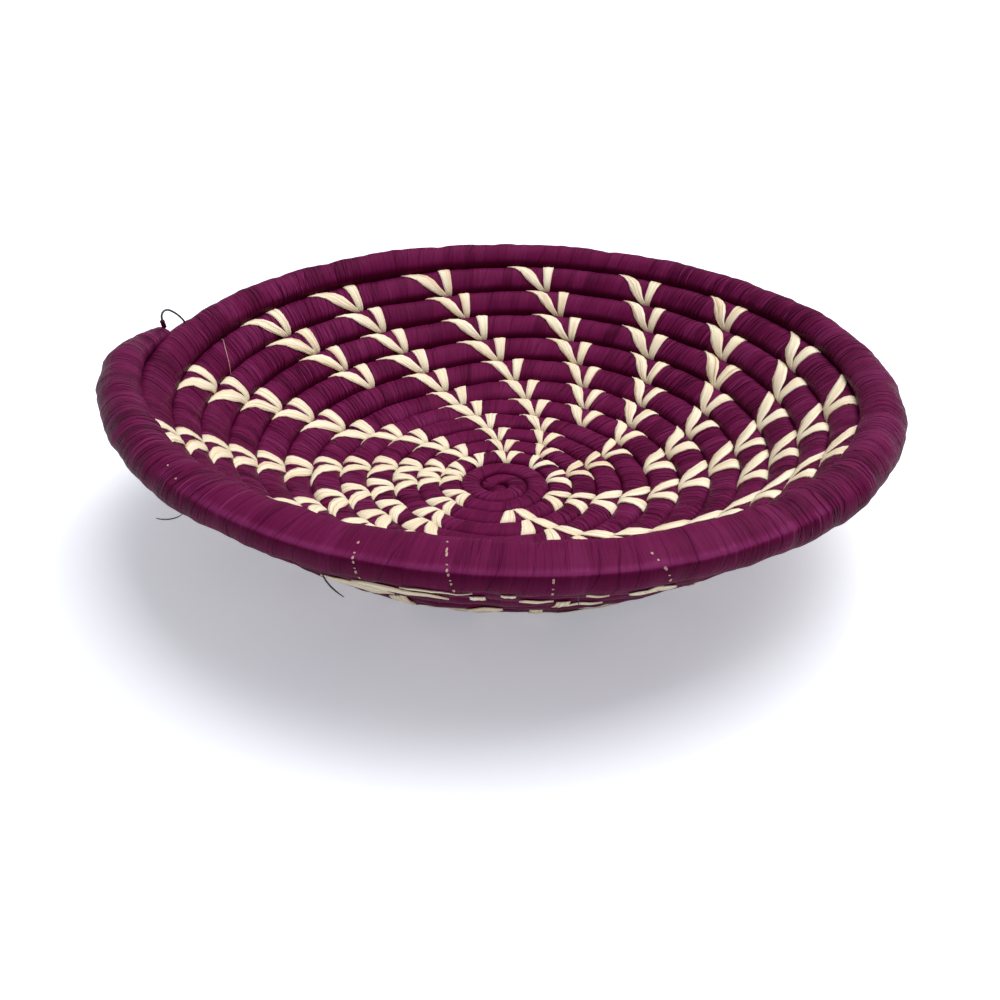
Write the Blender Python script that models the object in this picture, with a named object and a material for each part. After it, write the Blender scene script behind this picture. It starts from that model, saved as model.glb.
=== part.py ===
"""Coiled raffia basket bowl: one long coil wound from the centre out, sewn with cream rays of V stitches.

Metres, +Z up. The origin is the middle of the flat the bowl stands on. The coil's tail lies at the left and back.
Angles grow counter-clockwise seen from above, and the coil is followed from its tail at the rim in to the centre.
"""

import math

import bmesh
import bpy
from mathutils import Vector
from mathutils.geometry import intersect_point_line

# The bowl
RIM_DIAMETER = 0.2515
BASE_RADIUS = 0.026
WALL_RADIUS = 0.107
WALL_SLOPE = math.radians(44.5)
CENTRE_SHIFT = -0.0022
OVAL_REACH = 0.0015
OVAL_DIRECTION = math.radians(-35)

# The coil
RINGS_PER_TURN = 24
COIL_SIDES = 6
RIM_COIL = 0.0132
WALL_COIL = 0.0106
CENTRE_COIL = 0.0069
FULL_COIL_RADIUS = 0.065
THIN_COIL_RADIUS = 0.010
RIM_TURNS = 0.44
RIM_FADE_TURNS = 0.20
HUB_RADIUS = 0.0060
FOOT_CUT = 0.1
TAIL_ANGLE = math.radians(171.0)
TAIL_TAPER = (0.50, 0.80)
TAIL_TUCK = 0.85

# The raffia sleeve and the stalks inside it
SLEEVE_WALL = 0.0013
BORE_SIDES = 4
CLEARANCE = 0.0003
LEAST_TURN_GAP = 0.0004

# The knots at the two ends, and the hanging loop
KNOT_SIDES = 12
KNOT_WAIST = 0.28
KNOT_SHOULDER_WIDTH = 0.82
KNOT_SHOULDER_HEIGHT = 0.85
START_KNOT_HEIGHT = 0.0056
START_KNOT_LIFT = 0.0004
TAIL_KNOT_LENGTH = 0.0040
LOOP_WIRE = 0.0010
LOOP_REACH = 0.0070
LOOP_HEIGHT = 0.0062
LOOP_STEPS = 12

# The cream rays
RAYS = 16
FIRST_STITCH_TURN = 1.082
STITCH_DRIFT = math.radians(4.4)
PLAIN_CENTRE_TURNS = 1.09
SHORT_RAYS = {2: 9, 4: 6, 5: 5, 7: 4, 9: 7, 11: 7, 14: 4}
STRAND_THICKNESS = 0.0004
STRAND_WIDTH = 0.0036
CENTRE_STRAND_WIDTH = 0.0018
ARM_SPREAD = 0.0072
CENTRE_ARM_SPREAD = 0.0024
HEEL_SHARE = 0.3
OUTSIDE_RUN_HEIGHT = 0.0030

PLUM = (0.105, 0.012, 0.060)
STALK_TAN = (0.420, 0.300, 0.150)
CREAM = (0.870, 0.730, 0.500)
WIRE_GREY = (0.090, 0.075, 0.085)

HALF_SIDE = math.pi / COIL_SIDES
RING_STEP = 2 * math.pi / RINGS_PER_TURN


def clear_scene():
    for thing in list(bpy.data.objects):
        bpy.data.objects.remove(thing, do_unlink=True)


def make_material(name, colour, roughness, metallic=0.0):
    material = bpy.data.materials.new(name)
    material.use_nodes = True
    shader = material.node_tree.nodes["Principled BSDF"]
    shader.inputs["Base Color"].default_value = (*colour, 1.0)
    shader.inputs["Roughness"].default_value = roughness
    shader.inputs["Metallic"].default_value = metallic
    return material


def blend(low, high, share):
    share = min(max(share, 0.0), 1.0)
    return low + (high - low) * share


def pitch_at(radius):
    """Width of one turn along the bowl's profile, narrower towards the centre."""
    return blend(CENTRE_COIL, WALL_COIL, (radius - THIN_COIL_RADIUS) / (FULL_COIL_RADIUS - THIN_COIL_RADIUS))


def slope_at(radius):
    """Slope of the profile: level under the base, then a smooth rise to the wall's slope."""
    share = min(max((radius - BASE_RADIUS) / (WALL_RADIUS - BASE_RADIUS), 0.0), 1.0)
    return WALL_SLOPE * share * share * (3 - 2 * share)


def oval_at(radius, angle):
    """How far the coil strays from round: the bowl is a little longer along one diagonal."""
    share = 2 * radius / RIM_DIAMETER
    return OVAL_REACH * share * share * math.cos(2 * (angle - OVAL_DIRECTION))


def thickness_at(turn, radius):
    """Thickness of the coil: stout round the rim, and as wide as its turn elsewhere."""
    return blend(RIM_COIL, pitch_at(radius), (turn - RIM_TURNS) / RIM_FADE_TURNS)


class Ring:
    """One cross-section of the coil, in the upright plane through the bowl's axis."""

    def __init__(self, index, radius, height):
        turn = index / RINGS_PER_TURN
        angle = TAIL_ANGLE + index * RING_STEP
        slope = slope_at(radius)
        outward = Vector((math.cos(angle), math.sin(angle), 0.0))
        self.along = Vector((-math.sin(angle), math.cos(angle), 0.0))
        self.uphill = outward * math.cos(slope) + Vector((0, 0, math.sin(slope)))
        self.normal = Vector((0, 0, math.cos(slope))) - outward * math.sin(slope)
        self.thickness = thickness_at(turn, radius)
        self.radius = radius + oval_at(radius, angle)
        self.centre = outward * self.radius
        self.centre.x += CENTRE_SHIFT * (1 - 2 * radius / RIM_DIAMETER)
        self.centre.z = height + self.thickness * (0.5 - FOOT_CUT)
        if index < len(TAIL_TAPER):
            loss = self.thickness * (1 - TAIL_TAPER[index])
            self.thickness -= loss
            self.centre -= self.uphill * loss / 2 * TAIL_TUCK

    def axis_point(self):
        """The point of the bowl's own axis on a level with this ring."""
        outward = self.along.cross(Vector((0, 0, 1)))
        return self.centre - outward * self.radius

    def point(self, reach, turn_angle):
        """A point at this reach from the coil's middle, its angle taken from the bowl's inside towards the rim."""
        return self.centre + (self.normal * math.cos(turn_angle) + self.uphill * math.sin(turn_angle)) * reach


def wind_coil():
    """The coil's rings, from the tail at the rim in to the hub."""
    radius = (RIM_DIAMETER - RIM_COIL) / 2
    height = 0.0
    places = []
    while radius >= HUB_RADIUS:
        places.append((radius, height))
        step = pitch_at(radius) / RINGS_PER_TURN
        slope = slope_at(radius)
        radius -= step * math.cos(slope)
        height -= step * math.sin(slope)
    floor = places[-1][1]
    rings = [Ring(index, place[0], place[1] - floor) for index, place in enumerate(places)]
    centre_in_box(rings)
    return rings


def centre_in_box(rings):
    """Moves the coil so that the origin is the middle of the box it fills."""
    corners = [corner for ring in rings for corner in hexagon(ring, ring.thickness / 2)]
    middle = Vector((0.0, 0.0, 0.0))
    for axis in (0, 1):
        values = [corner[axis] for corner in corners]
        middle[axis] = (min(values) + max(values)) / 2
    for ring in rings:
        ring.centre -= middle


def hexagon(ring, reach):
    return [ring.point(reach, 2 * HALF_SIDE * side) for side in range(COIL_SIDES)]


def square(ring, reach):
    quarter = 2 * math.pi / BORE_SIDES
    return [ring.point(reach, quarter * (side + 0.5)) for side in range(BORE_SIDES)]


def bore_reach(ring):
    return ring.thickness / 2 - SLEEVE_WALL


def core_reach(ring):
    return bore_reach(ring) - CLEARANCE / math.cos(math.pi / BORE_SIDES)


def object_from(name, mesh_data, material):
    """Closes a bmesh into a named object with one material."""
    bmesh.ops.recalc_face_normals(mesh_data, faces=mesh_data.faces)
    mesh = bpy.data.meshes.new(name)
    mesh_data.to_mesh(mesh)
    mesh_data.free()
    mesh.materials.append(material)
    thing = bpy.data.objects.new(name, mesh)
    bpy.context.scene.collection.objects.link(thing)
    return thing


def skin(mesh_data, sections):
    """Quads between neighbouring sections, each a closed loop of vertices."""
    for near, far in zip(sections, sections[1:]):
        count = len(near)
        for side in range(count):
            after = (side + 1) % count
            mesh_data.faces.new((near[side], near[after], far[after], far[side]))


def close_sleeve_end(mesh_data, outer, inner):
    """Closes the wall between the hexagon and the square bore at one end of the sleeve."""
    inner_count = len(inner)
    for side in range(COIL_SIDES):
        middle = (side + 0.5) / COIL_SIDES * inner_count - 0.5
        near = round(middle) % inner_count
        mesh_data.faces.new((outer[side], outer[(side + 1) % COIL_SIDES], inner[near]))
        next_middle = (side + 1.5) / COIL_SIDES * inner_count - 0.5
        after = round(next_middle) % inner_count
        if after != near:
            mesh_data.faces.new((outer[(side + 1) % COIL_SIDES], inner[near], inner[after]))


def build_wrap(rings, material):
    """The plum raffia wound round the coil: a sleeve open at both ends, flat where the bowl stands on it."""
    mesh_data = bmesh.new()
    outer = [[mesh_data.verts.new(p) for p in hexagon(ring, ring.thickness / 2)] for ring in rings]
    inner = [[mesh_data.verts.new(p) for p in square(ring, bore_reach(ring))] for ring in rings]
    skin(mesh_data, outer)
    skin(mesh_data, inner)
    close_sleeve_end(mesh_data, outer[0], inner[0])
    close_sleeve_end(mesh_data, outer[-1], inner[-1])
    wrap = object_from("raffia_wrap", mesh_data, material)
    cut = wrap.modifiers.new("flat_foot", "BOOLEAN")
    cut.operation = "DIFFERENCE"
    cut.solver = "EXACT"
    cut.object = floor_cutter()
    return wrap


def floor_cutter():
    """A slab under the bowl whose top is the plane that the bowl stands on."""
    reach = RIM_DIAMETER / 2
    depth = CENTRE_COIL
    mesh_data = bmesh.new()
    bmesh.ops.create_cube(mesh_data, size=2.0)
    bmesh.ops.scale(mesh_data, verts=mesh_data.verts, vec=(reach, reach, depth))
    bmesh.ops.translate(mesh_data, verts=mesh_data.verts, vec=(0, 0, -depth))
    cutter = object_from("floor_cutter", mesh_data, None)
    cutter.hide_render = True
    cutter.display_type = "WIRE"
    return cutter


def build_core(rings, material):
    """The bundle of stalks that fills the sleeve, from end to end."""
    mesh_data = bmesh.new()
    sections = [[mesh_data.verts.new(p) for p in square(ring, core_reach(ring))] for ring in rings]
    skin(mesh_data, sections)
    mesh_data.faces.new(sections[0])
    mesh_data.faces.new(sections[-1])
    return object_from("stalk_core", mesh_data, material)


def turned_knot(name, foot, axis, side, radius, height, material):
    """A squat knot with a domed top, turned about its axis."""
    across = axis.cross(side).normalized()
    profile = ((1.0, 0.0), (1.0, 2 * KNOT_WAIST), (KNOT_SHOULDER_WIDTH, KNOT_SHOULDER_HEIGHT))
    mesh_data = bmesh.new()
    sections = []
    for share, level in profile:
        section = []
        for step in range(KNOT_SIDES):
            angle = 2 * math.pi * step / KNOT_SIDES
            spoke = side * math.cos(angle) + across * math.sin(angle)
            section.append(mesh_data.verts.new(foot + spoke * radius * share + axis * height * level))
        sections.append(section)
    skin(mesh_data, sections)
    mesh_data.faces.new(sections[0])
    top = mesh_data.verts.new(foot + axis * height)
    for step in range(KNOT_SIDES):
        mesh_data.faces.new((sections[-1][step], sections[-1][(step + 1) % KNOT_SIDES], top))
    return object_from(name, mesh_data, material)


def build_start_knot(rings, material):
    """The button that the coil starts from, in the hole at the middle of the base."""
    hub = rings[-1]
    radius = hub.radius - hub.thickness / 2 - CLEARANCE
    foot = hub.axis_point()
    foot.z = START_KNOT_LIFT
    up = Vector((0, 0, 1))
    return turned_knot("start_knot", foot, up, Vector((1, 0, 0)), radius, START_KNOT_HEIGHT, material)


def tail_knot_radius(tail):
    """The knot is as wide as the flats of the tail that it closes."""
    return tail.thickness / 2 * math.cos(HALF_SIDE)


def build_tail_knot(rings, material):
    """The knot that closes the tail of the coil."""
    tail = rings[0]
    foot = tail.centre - tail.along * CLEARANCE
    radius = tail_knot_radius(tail)
    return turned_knot("tail_knot", foot, -tail.along, tail.normal, radius, TAIL_KNOT_LENGTH, material)


def build_hanging_loop(rings, material):
    """A bent wire eye with one foot on the tail knot and one on the turn beside it."""
    tail = rings[0]
    up = Vector((0, 0, 1))
    knot_middle = tail.centre - tail.along * (CLEARANCE + TAIL_KNOT_LENGTH * KNOT_WAIST)
    knot_foot = knot_middle + up * (tail_knot_radius(tail) + CLEARANCE)
    coil = Coil(rings)
    turn_foot = coil.surface(coil.shifted(1.0, -LOOP_REACH), 2 * HALF_SIDE, CLEARANCE)
    middle = (knot_foot + turn_foot) / 2
    half = (turn_foot - knot_foot) / 2
    points = []
    for step in range(LOOP_STEPS + 1):
        angle = math.pi * step / LOOP_STEPS
        points.append(middle - half * math.cos(angle) + up * LOOP_HEIGHT * math.sin(angle))
    curve = bpy.data.curves.new("hanging_loop", "CURVE")
    curve.dimensions = "3D"
    curve.bevel_depth = LOOP_WIRE / 2
    curve.bevel_resolution = 1
    curve.use_fill_caps = True
    spline = curve.splines.new("POLY")
    spline.points.add(len(points) - 1)
    for place, point in zip(spline.points, points):
        place.co = (*point, 1.0)
    curve.materials.append(material)
    loop = bpy.data.objects.new("hanging_loop", curve)
    bpy.context.scene.collection.objects.link(loop)
    return loop


class Strand:
    """Closed body made of thin cells laid side by side, where a wall shared by two cells is left out."""

    def __init__(self):
        self.mesh = bmesh.new()
        self.places = {}
        self.walls = {}

    def vertex(self, place):
        key = tuple(round(value * 1e7) for value in place)
        if key not in self.places:
            self.places[key] = self.mesh.verts.new(place)
        return self.places[key]

    def wall(self, corners):
        key = frozenset(corners)
        if key in self.walls:
            self.mesh.faces.remove(self.walls.pop(key))
        else:
            self.walls[key] = self.mesh.faces.new(corners)

    def cell(self, inner, outer):
        """Adds a cell between an inner outline, next to the coil, and an outer one."""
        low = [self.vertex(place) for place in inner]
        high = [self.vertex(place) for place in outer]
        self.wall(low)
        self.wall(high)
        for side in range(len(low)):
            after = (side + 1) % len(low)
            self.wall((low[side], low[after], high[after], high[side]))


class Coil:
    """Reads places on the coil between its rings."""

    def __init__(self, rings):
        self.rings = rings

    def between(self, turn, reading):
        place = turn * RINGS_PER_TURN
        index = min(int(place), len(self.rings) - 2)
        near = reading(self.rings[index])
        far = reading(self.rings[index + 1])
        return near + (far - near) * (place - index)

    def shifted(self, turn, distance):
        """The turn count this far along the coil, against its winding from tail to hub."""
        radius = self.between(turn, lambda ring: ring.radius)
        return turn + distance / (2 * math.pi * radius)

    def surface(self, turn, turn_angle, lift):
        """A place at this lift off the flats of the coil, on one of its edges."""
        return self.between(turn, lambda ring: ring.point(ring.thickness / 2 + lift / math.cos(HALF_SIDE), turn_angle))

    def crest(self, turn, lift):
        return self.surface(turn, 0.0, lift)

    def back(self, turn, lift):
        return self.surface(turn, math.pi, lift)

    def groove(self, turn, lift, facing):
        """A place in the groove between this turn and the next one outward, on the face named by its angle."""
        own = self.surface(turn, facing, CLEARANCE)
        outer = self.surface(turn - 1, -facing, CLEARANCE)
        away = self.between(turn, lambda ring: ring.normal)
        if facing > math.pi / 2:
            away = -away
        return (own + outer) / 2 + away * lift

    def uphill(self, turn):
        return self.between(turn, lambda ring: ring.uphill)


class Ray:
    """One cream strand: a chain of V stitches inside the bowl that passes through the wall and returns outside."""

    def __init__(self, coil, number):
        self.coil = coil
        self.step = 1 - STITCH_DRIFT / (2 * math.pi)
        self.first = FIRST_STITCH_TURN + number * self.step / RAYS
        last = len(coil.rings) / RINGS_PER_TURN - PLAIN_CENTRE_TURNS
        whole = int((last - self.first) / self.step) + 1
        self.count = min(SHORT_RAYS.get(number, whole), whole)
        self.strand = Strand()

    def turn(self, stitch):
        return self.first + stitch * self.step

    def share(self, turn):
        """How far out this turn lies, from 0 where the coil is thin to 1 where it is full."""
        radius = self.coil.between(turn, lambda ring: ring.radius)
        return (radius - THIN_COIL_RADIUS) / (FULL_COIL_RADIUS - THIN_COIL_RADIUS)

    def half_width(self, turn):
        return blend(CENTRE_STRAND_WIDTH, STRAND_WIDTH, self.share(turn)) / 2

    def spread(self, turn):
        return blend(CENTRE_ARM_SPREAD, ARM_SPREAD, self.share(turn))

    def along(self, turn, distances):
        return [self.coil.shifted(turn, distance) for distance in distances]

    def foot_turns(self, stitch):
        """Three places across the foot of a stitch, in the groove on its inner side."""
        turn = self.turn(stitch) + 1
        half = self.half_width(turn)
        return self.along(turn, (-half, 0.0, half))

    def groove_row(self, turns, lift, slide=0.0, facing=2 * HALF_SIDE):
        return [
            self.coil.groove(turn, lift, facing) + self.coil.uphill(turn) * slide
            for turn in turns
        ]

    def foot_row(self, stitch, lift, side):
        """A foot's row, moved to one edge of the pad where the strand dives through the wall."""
        slide = side * STRAND_THICKNESS / 2 if stitch == self.dive else 0.0
        return self.groove_row(self.foot_turns(stitch), lift, slide)

    def crest_row(self, turns, lift):
        return [self.coil.crest(turn, CLEARANCE + lift) for turn in turns]

    def add_stitch(self, stitch):
        """Both arms of one V, from its foot over the coil to the groove on its outer side."""
        turn = self.turn(stitch)
        half = self.half_width(turn)
        spread = self.spread(turn)
        next_foot = self.turn(stitch - 1) + 1
        left = self.along((turn + next_foot) / 2, (-half, half))
        right = self.along(turn, (-spread / 2 - half, -spread / 2 + half))
        tip = self.along(turn, (-spread - half, -spread + half))
        layers = []
        for lift in (0.0, STRAND_THICKNESS):
            foot = self.foot_row(stitch, lift, 1)
            end = self.foot_row(stitch - 1, lift, -1)
            left_crest = self.crest_row(left, lift)
            right_crest = self.crest_row(right, lift)
            right_tip = self.groove_row(tip, lift)
            layers.append((
                [foot[1], foot[2], left_crest[1], left_crest[0]],
                [left_crest[0], left_crest[1], end[2], end[1], end[0]],
                [foot[0], foot[1], right_crest[1], right_crest[0]],
                [right_crest[0], right_crest[1], right_tip[1], right_tip[0]],
            ))
        for inner, outer in zip(*layers):
            self.strand.cell(inner, outer)

    def add_heel(self):
        """The small tab that joins the two arms of the innermost stitch, on the turn below its foot."""
        stitch = self.count - 1
        turn = self.turn(stitch) + 1
        outlines = []
        for lift in (0.0, STRAND_THICKNESS):
            edge = self.coil.surface(turn, 2 * HALF_SIDE, CLEARANCE + lift)
            heel = edge.lerp(self.coil.crest(turn, CLEARANCE + lift), HEEL_SHARE)
            outlines.append(self.foot_row(stitch, lift, 1) + [heel])
        self.strand.cell(*outlines)

    def pad_quads(self, lift, facing):
        """The two halves of the pad, in the groove, where the strand turns into the wall."""
        turns = self.foot_turns(self.dive)
        low = self.groove_row(turns, lift, -STRAND_THICKNESS / 2, facing)
        high = self.groove_row(turns, lift, STRAND_THICKNESS / 2, facing)
        return [[low[half], low[half + 1], high[half + 1], high[half]] for half in (0, 1)]

    def add_dive(self):
        """The strand's way through the wall, between two turns of the coil."""
        inside = 2 * HALF_SIDE
        outside = 4 * HALF_SIDE
        rows = [
            self.pad_quads(STRAND_THICKNESS, inside),
            self.pad_quads(0.0, inside),
            self.pad_quads(0.0, outside),
            self.pad_quads(STRAND_THICKNESS, outside),
        ]
        for near, far in zip(rows, rows[1:]):
            for low, high in zip(near, far):
                self.strand.cell(low, high)

    def back_turns(self, stitch):
        turn = self.turn(stitch)
        half = self.half_width(turn)
        return self.along(turn, (-half, half))

    def back_row(self, stitch, lift):
        return [self.coil.back(turn, CLEARANCE + lift) for turn in self.back_turns(stitch)]

    def add_outside_run(self):
        """The strand's run outside the bowl, from where it comes through the wall up to the first stitch."""
        layers = []
        for lift in (0.0, STRAND_THICKNESS):
            start = self.groove_row(self.foot_turns(self.dive), lift, STRAND_THICKNESS / 2, 4 * HALF_SIDE)
            rows = [self.back_row(stitch, lift) for stitch in range(self.dive, -1, -1)]
            outlines = [[start[0], start[1], start[2], rows[0][1], rows[0][0]]]
            outlines += [[near[0], near[1], far[1], far[0]] for near, far in zip(rows, rows[1:])]
            layers.append(outlines)
        for inner, outer in zip(*layers):
            self.strand.cell(inner, outer)

    def find_dive(self):
        """The innermost stitch whose coil lies clear above the ground."""
        heights = [self.coil.back(self.turn(stitch), CLEARANCE).z for stitch in range(self.count)]
        return max(stitch for stitch, height in enumerate(heights) if height > OUTSIDE_RUN_HEIGHT)

    def build(self, name, material):
        self.dive = self.find_dive()
        for stitch in range(self.count):
            self.add_stitch(stitch)
        if self.dive < self.count - 1:
            self.add_heel()
        self.add_dive()
        self.add_outside_run()
        return object_from(name, self.strand.mesh, material)


def build_rays(rings, material):
    coil = Coil(rings)
    for number in range(RAYS):
        Ray(coil, number).build(f"accent_strand_{number + 1:02d}", material)


def least_turn_gap(rings):
    """Least gap between the coil's neighbouring turns, from points along the edges of their cross-sections."""
    least = RIM_DIAMETER
    samples = 5
    for near, far in zip(rings, rings[RINGS_PER_TURN:]):
        own = hexagon(near, near.thickness / 2)
        other = hexagon(far, far.thickness / 2)
        for start, end in zip(own, own[1:] + own[:1]):
            for step in range(samples):
                point = start.lerp(end, step / samples)
                for first, second in zip(other, other[1:] + other[:1]):
                    foot, share = intersect_point_line(point, first, second)
                    nearest = first.lerp(second, min(max(share, 0.0), 1.0))
                    least = min(least, (point - nearest).length)
    return least


def main():
    clear_scene()
    plum = make_material("plum_raffia", PLUM, 0.55)
    tan = make_material("dry_stalk", STALK_TAN, 0.85)
    cream = make_material("cream_raffia", CREAM, 0.50)
    grey = make_material("grey_wire", WIRE_GREY, 0.45, 0.6)
    rings = wind_coil()
    build_wrap(rings, plum)
    build_core(rings, tan)
    build_start_knot(rings, plum)
    build_tail_knot(rings, plum)
    build_hanging_loop(rings, grey)
    build_rays(rings, cream)
    gap = least_turn_gap(rings)
    print(f"The coil's least gap to itself is {gap * 1000:.2f} mm, over {LEAST_TURN_GAP * 1000:.1f} mm")


main()
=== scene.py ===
"""The looks of a coiled raffia bowl: plum raffia wound over one long coil and sewn with cream rays.

Metres, +Z up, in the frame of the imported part. Places on the bowl are given along its coil: a count of turns
or a length from the tail at the rim in towards the hub, and an angle round the coil's own section, from 0 on
the crest inside the bowl, over a quarter turn at the groove on the rim's side, to half a turn on the back.
"""

from __future__ import annotations

import logging
import math
from dataclasses import dataclass, field
from enum import Enum
from typing import Callable, Sequence

import bpy
import numpy as np
from bpy.types import ID, Material, Mesh, Node, NodeSocket, NodeTree, Object
from mathutils import Matrix, Vector
from numpy import ndarray

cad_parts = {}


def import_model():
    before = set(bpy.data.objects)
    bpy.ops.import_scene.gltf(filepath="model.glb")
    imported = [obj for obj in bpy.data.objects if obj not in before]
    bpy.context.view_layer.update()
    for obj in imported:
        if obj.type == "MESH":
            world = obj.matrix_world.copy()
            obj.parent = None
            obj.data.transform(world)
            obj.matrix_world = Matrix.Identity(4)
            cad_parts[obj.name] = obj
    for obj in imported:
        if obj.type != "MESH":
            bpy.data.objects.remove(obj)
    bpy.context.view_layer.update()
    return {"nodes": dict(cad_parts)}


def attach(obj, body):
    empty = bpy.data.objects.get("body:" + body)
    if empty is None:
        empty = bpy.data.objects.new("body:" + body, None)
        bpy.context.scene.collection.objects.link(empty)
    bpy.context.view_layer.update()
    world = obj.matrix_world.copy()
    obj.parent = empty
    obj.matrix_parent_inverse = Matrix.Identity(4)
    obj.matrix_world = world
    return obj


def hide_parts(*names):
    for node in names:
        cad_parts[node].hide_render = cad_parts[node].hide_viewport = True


LOG = logging.getLogger("basket")
MM = 0.001
FULL = 2 * math.pi
QUARTER = FULL / 4
BODY = "root"
UV_NAME = "laid"
WHITE = (1.0, 1.0, 1.0)

Colour = tuple[float, float, float]
Pair = tuple[float, float]


class Slot(Enum):
    """The record's material slots."""

    PLUM = "plum_raffia"
    STALK = "dry_stalk"
    CREAM = "cream_raffia"
    CORD = "grey_cord"


def blend(low: float, high: float, share: ndarray | float) -> ndarray:
    """Blends from one size to another by a share, which is held between 0 and 1."""
    return low + (high - low) * np.clip(share, 0.0, 1.0)


def ease(size: ndarray | float, share: ndarray) -> ndarray:
    """A size times a share that is eased in and out."""
    return size * share * share * (3 - 2 * share)


def ripple(places: ndarray, angles: ndarray, waves: Sequence[tuple[float, float, int, float]]) -> ndarray:
    """Adds up waves that run along the coil and round its section.

    Args:
        places: Lengths along the coil.
        angles: Angles round the section.
        waves: For each wave its height, its length along the coil, its count round the section and its phase.

    Returns:
        The sum of the waves at each place.
    """
    total = np.zeros_like(places)
    for height, length, count, phase in waves:
        total += height * np.sin(places * FULL / length + count * angles + phase)
    return total


@dataclass(frozen=True)
class Winding:
    """The spiral that the coil follows, in the sizes of the part's source.

    The ends of the sag, and where it rises, are in degrees round the bowl. Swells are in millimetres: each
    one's height and length, then its count round the coil and its phase.
    """

    rim_diameter: float = 0.2515
    base_radius: float = 0.026
    wall_radius: float = 0.107
    wall_slope: float = math.radians(44.5)
    centre_shift: float = -0.0022
    rim_coil: float = 0.0132
    wall_coil: float = 0.0106
    centre_coil: float = 0.0069
    full_coil_radius: float = 0.065
    thin_coil_radius: float = 0.010
    rim_turns: float = 0.44
    rim_fade_turns: float = 0.20
    free_fade_turns: float = 0.25
    hub_radius: float = 0.0060
    oval_reach: float = 0.0015
    oval_direction: float = math.radians(-35.0)
    foot_cut: float = 0.1
    tail_angle: float = math.radians(171.0)
    tail_turns: float = 0.03
    tail_taper_turns: float = 2 / 24
    tail_share: float = 0.62
    tail_blunt: float = 7.0
    tail_tuck: float = 1.10
    tail_droop: float = 2.8 * MM
    sag_rows: tuple[float, ...] = (0.9, 1.5, 2.9, 4.9, 6.9, 7.9, 8.8)
    sag_drops: tuple[float, ...] = (0.0, 2.2 * MM, 2.4 * MM, 3.1 * MM, 3.7 * MM, 1.7 * MM, 0.2 * MM)
    sag_rise: Pair = (86.0, 110.0)
    sag_end_rows: tuple[float, ...] = (2.0, 3.0, 4.0, 6.2, 7.2)
    sag_ends: tuple[float, ...] = (200.0, 205.0, 218.0, 220.0, 190.0)
    sag_fade: float = 34.0
    nudge_reach: float = 2.0 * MM
    nudge_turn: float = 1.055
    nudge_spread: float = 0.075
    part_taper: Pair = (0.50, 0.80)
    part_tuck: float = 0.85
    part_sides: int = 6
    steps: int = 24
    slack_turns: float = 0.001
    fine_steps: int = 8
    hub_turns: float = 0.55
    hub_share: float = 0.72
    squareness: float = 2.7
    rim_squareness: float = 1.5
    back_pinch: float = 0.15
    front_start: float = 0.55
    front_span: float = 0.38
    ridge: float = 0.45 * MM
    ridge_spread: float = math.radians(10)
    ridge_drop: float = 0.46
    crown: float = 0.98
    contact: float = 0.45 * MM
    swells: tuple[tuple[float, float, int, float], ...] = (
        (0.16, 61, 1, 0.4),
        (0.13, 37, 2, 1.9),
        (0.12, 23, 1, 4.1),
        (0.11, 17, 3, 2.7),
        (0.07, 11.3, 0, 0.9),
        (0.06, 7.7, 1, 3.3),
        (0.05, 5.3, 0, 5.2),
    )
    thin_swell: float = 0.4
    pressed_swell: float = 0.3
    path: dict[str, ndarray] = field(default_factory=dict)

    def __post_init__(self) -> None:
        """Keeps the coil's frame at each step of the spiral."""
        radii, heights, turns, whole = self.walk()
        path = self.path
        path["turn"] = turns
        path["coil_turns"] = turns[whole:whole + 1]
        path["radius"] = radii + self.stray(radii, turns)
        path["slope"] = self.slope(radii)
        path["pitch"] = self.pitch(radii)
        thick = blend(self.rim_coil, path["pitch"], (turns - self.rim_turns) / self.rim_fade_turns)
        short = (1 - np.clip(turns / self.tail_taper_turns, 0.0, 1.0)) ** self.tail_blunt
        path["loss"] = thick * (1 - blend(self.tail_share, 1.0, 1 - short))
        hub = blend(1.0, self.hub_share, (turns - turns[whole]) / self.hub_turns)
        path["thick"] = (thick - path["loss"]) * hub
        height = heights - heights[whole] + thick * (0.5 - self.foot_cut)
        path["height"] = height - self.tail_droop * short - self.sag(turns)
        middle = self.box_middle(radii, thick)
        path["shift_x"] = self.sideways(radii) - middle[0]
        path["shift_y"] = np.full_like(radii, -middle[1])
        fine = np.linspace(turns[0], turns[-1], len(turns) * self.fine_steps)
        lengths = np.cumsum(np.linalg.norm(np.diff(self.centre(fine), axis=0), axis=1))
        lengths = np.concatenate([[0.0], lengths])
        path["fine_turn"] = fine
        path["fine_length"] = lengths - np.interp(0.0, fine, lengths)

    def walk(self) -> tuple[ndarray, ndarray, ndarray, int]:
        """Walks the spiral from just before the tail in to where the raffia ends in the hub.

        Returns:
            The radius, the height and the turns at each step, and the last step of the part's own coil.
        """
        step = 1 / self.steps
        before = math.ceil(self.tail_turns / step)
        radius, height = (self.rim_diameter - self.rim_coil) / 2, 0.0
        for _ in range(before):
            radius += self.pitch(radius) * step * math.cos(self.slope(radius))
            height += self.pitch(radius) * step * math.sin(self.slope(radius))
        turn, whole, rows = -before * step, 0, []
        while radius >= self.hub_radius or turn < rows[whole][2] + self.hub_turns:
            if radius >= self.hub_radius:
                whole = len(rows)
            rows.append((radius, height, turn))
            width = self.pitch(radius) * step
            height -= width * math.sin(self.slope(radius))
            radius -= width * math.cos(self.slope(radius))
            turn += step
        radii, heights, turns = np.array(rows).T.copy()
        return radii, heights, turns, whole

    def angle_at(self, turns: ndarray) -> ndarray:
        """Angle round the bowl at these turns."""
        return self.tail_angle + FULL * turns

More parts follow.
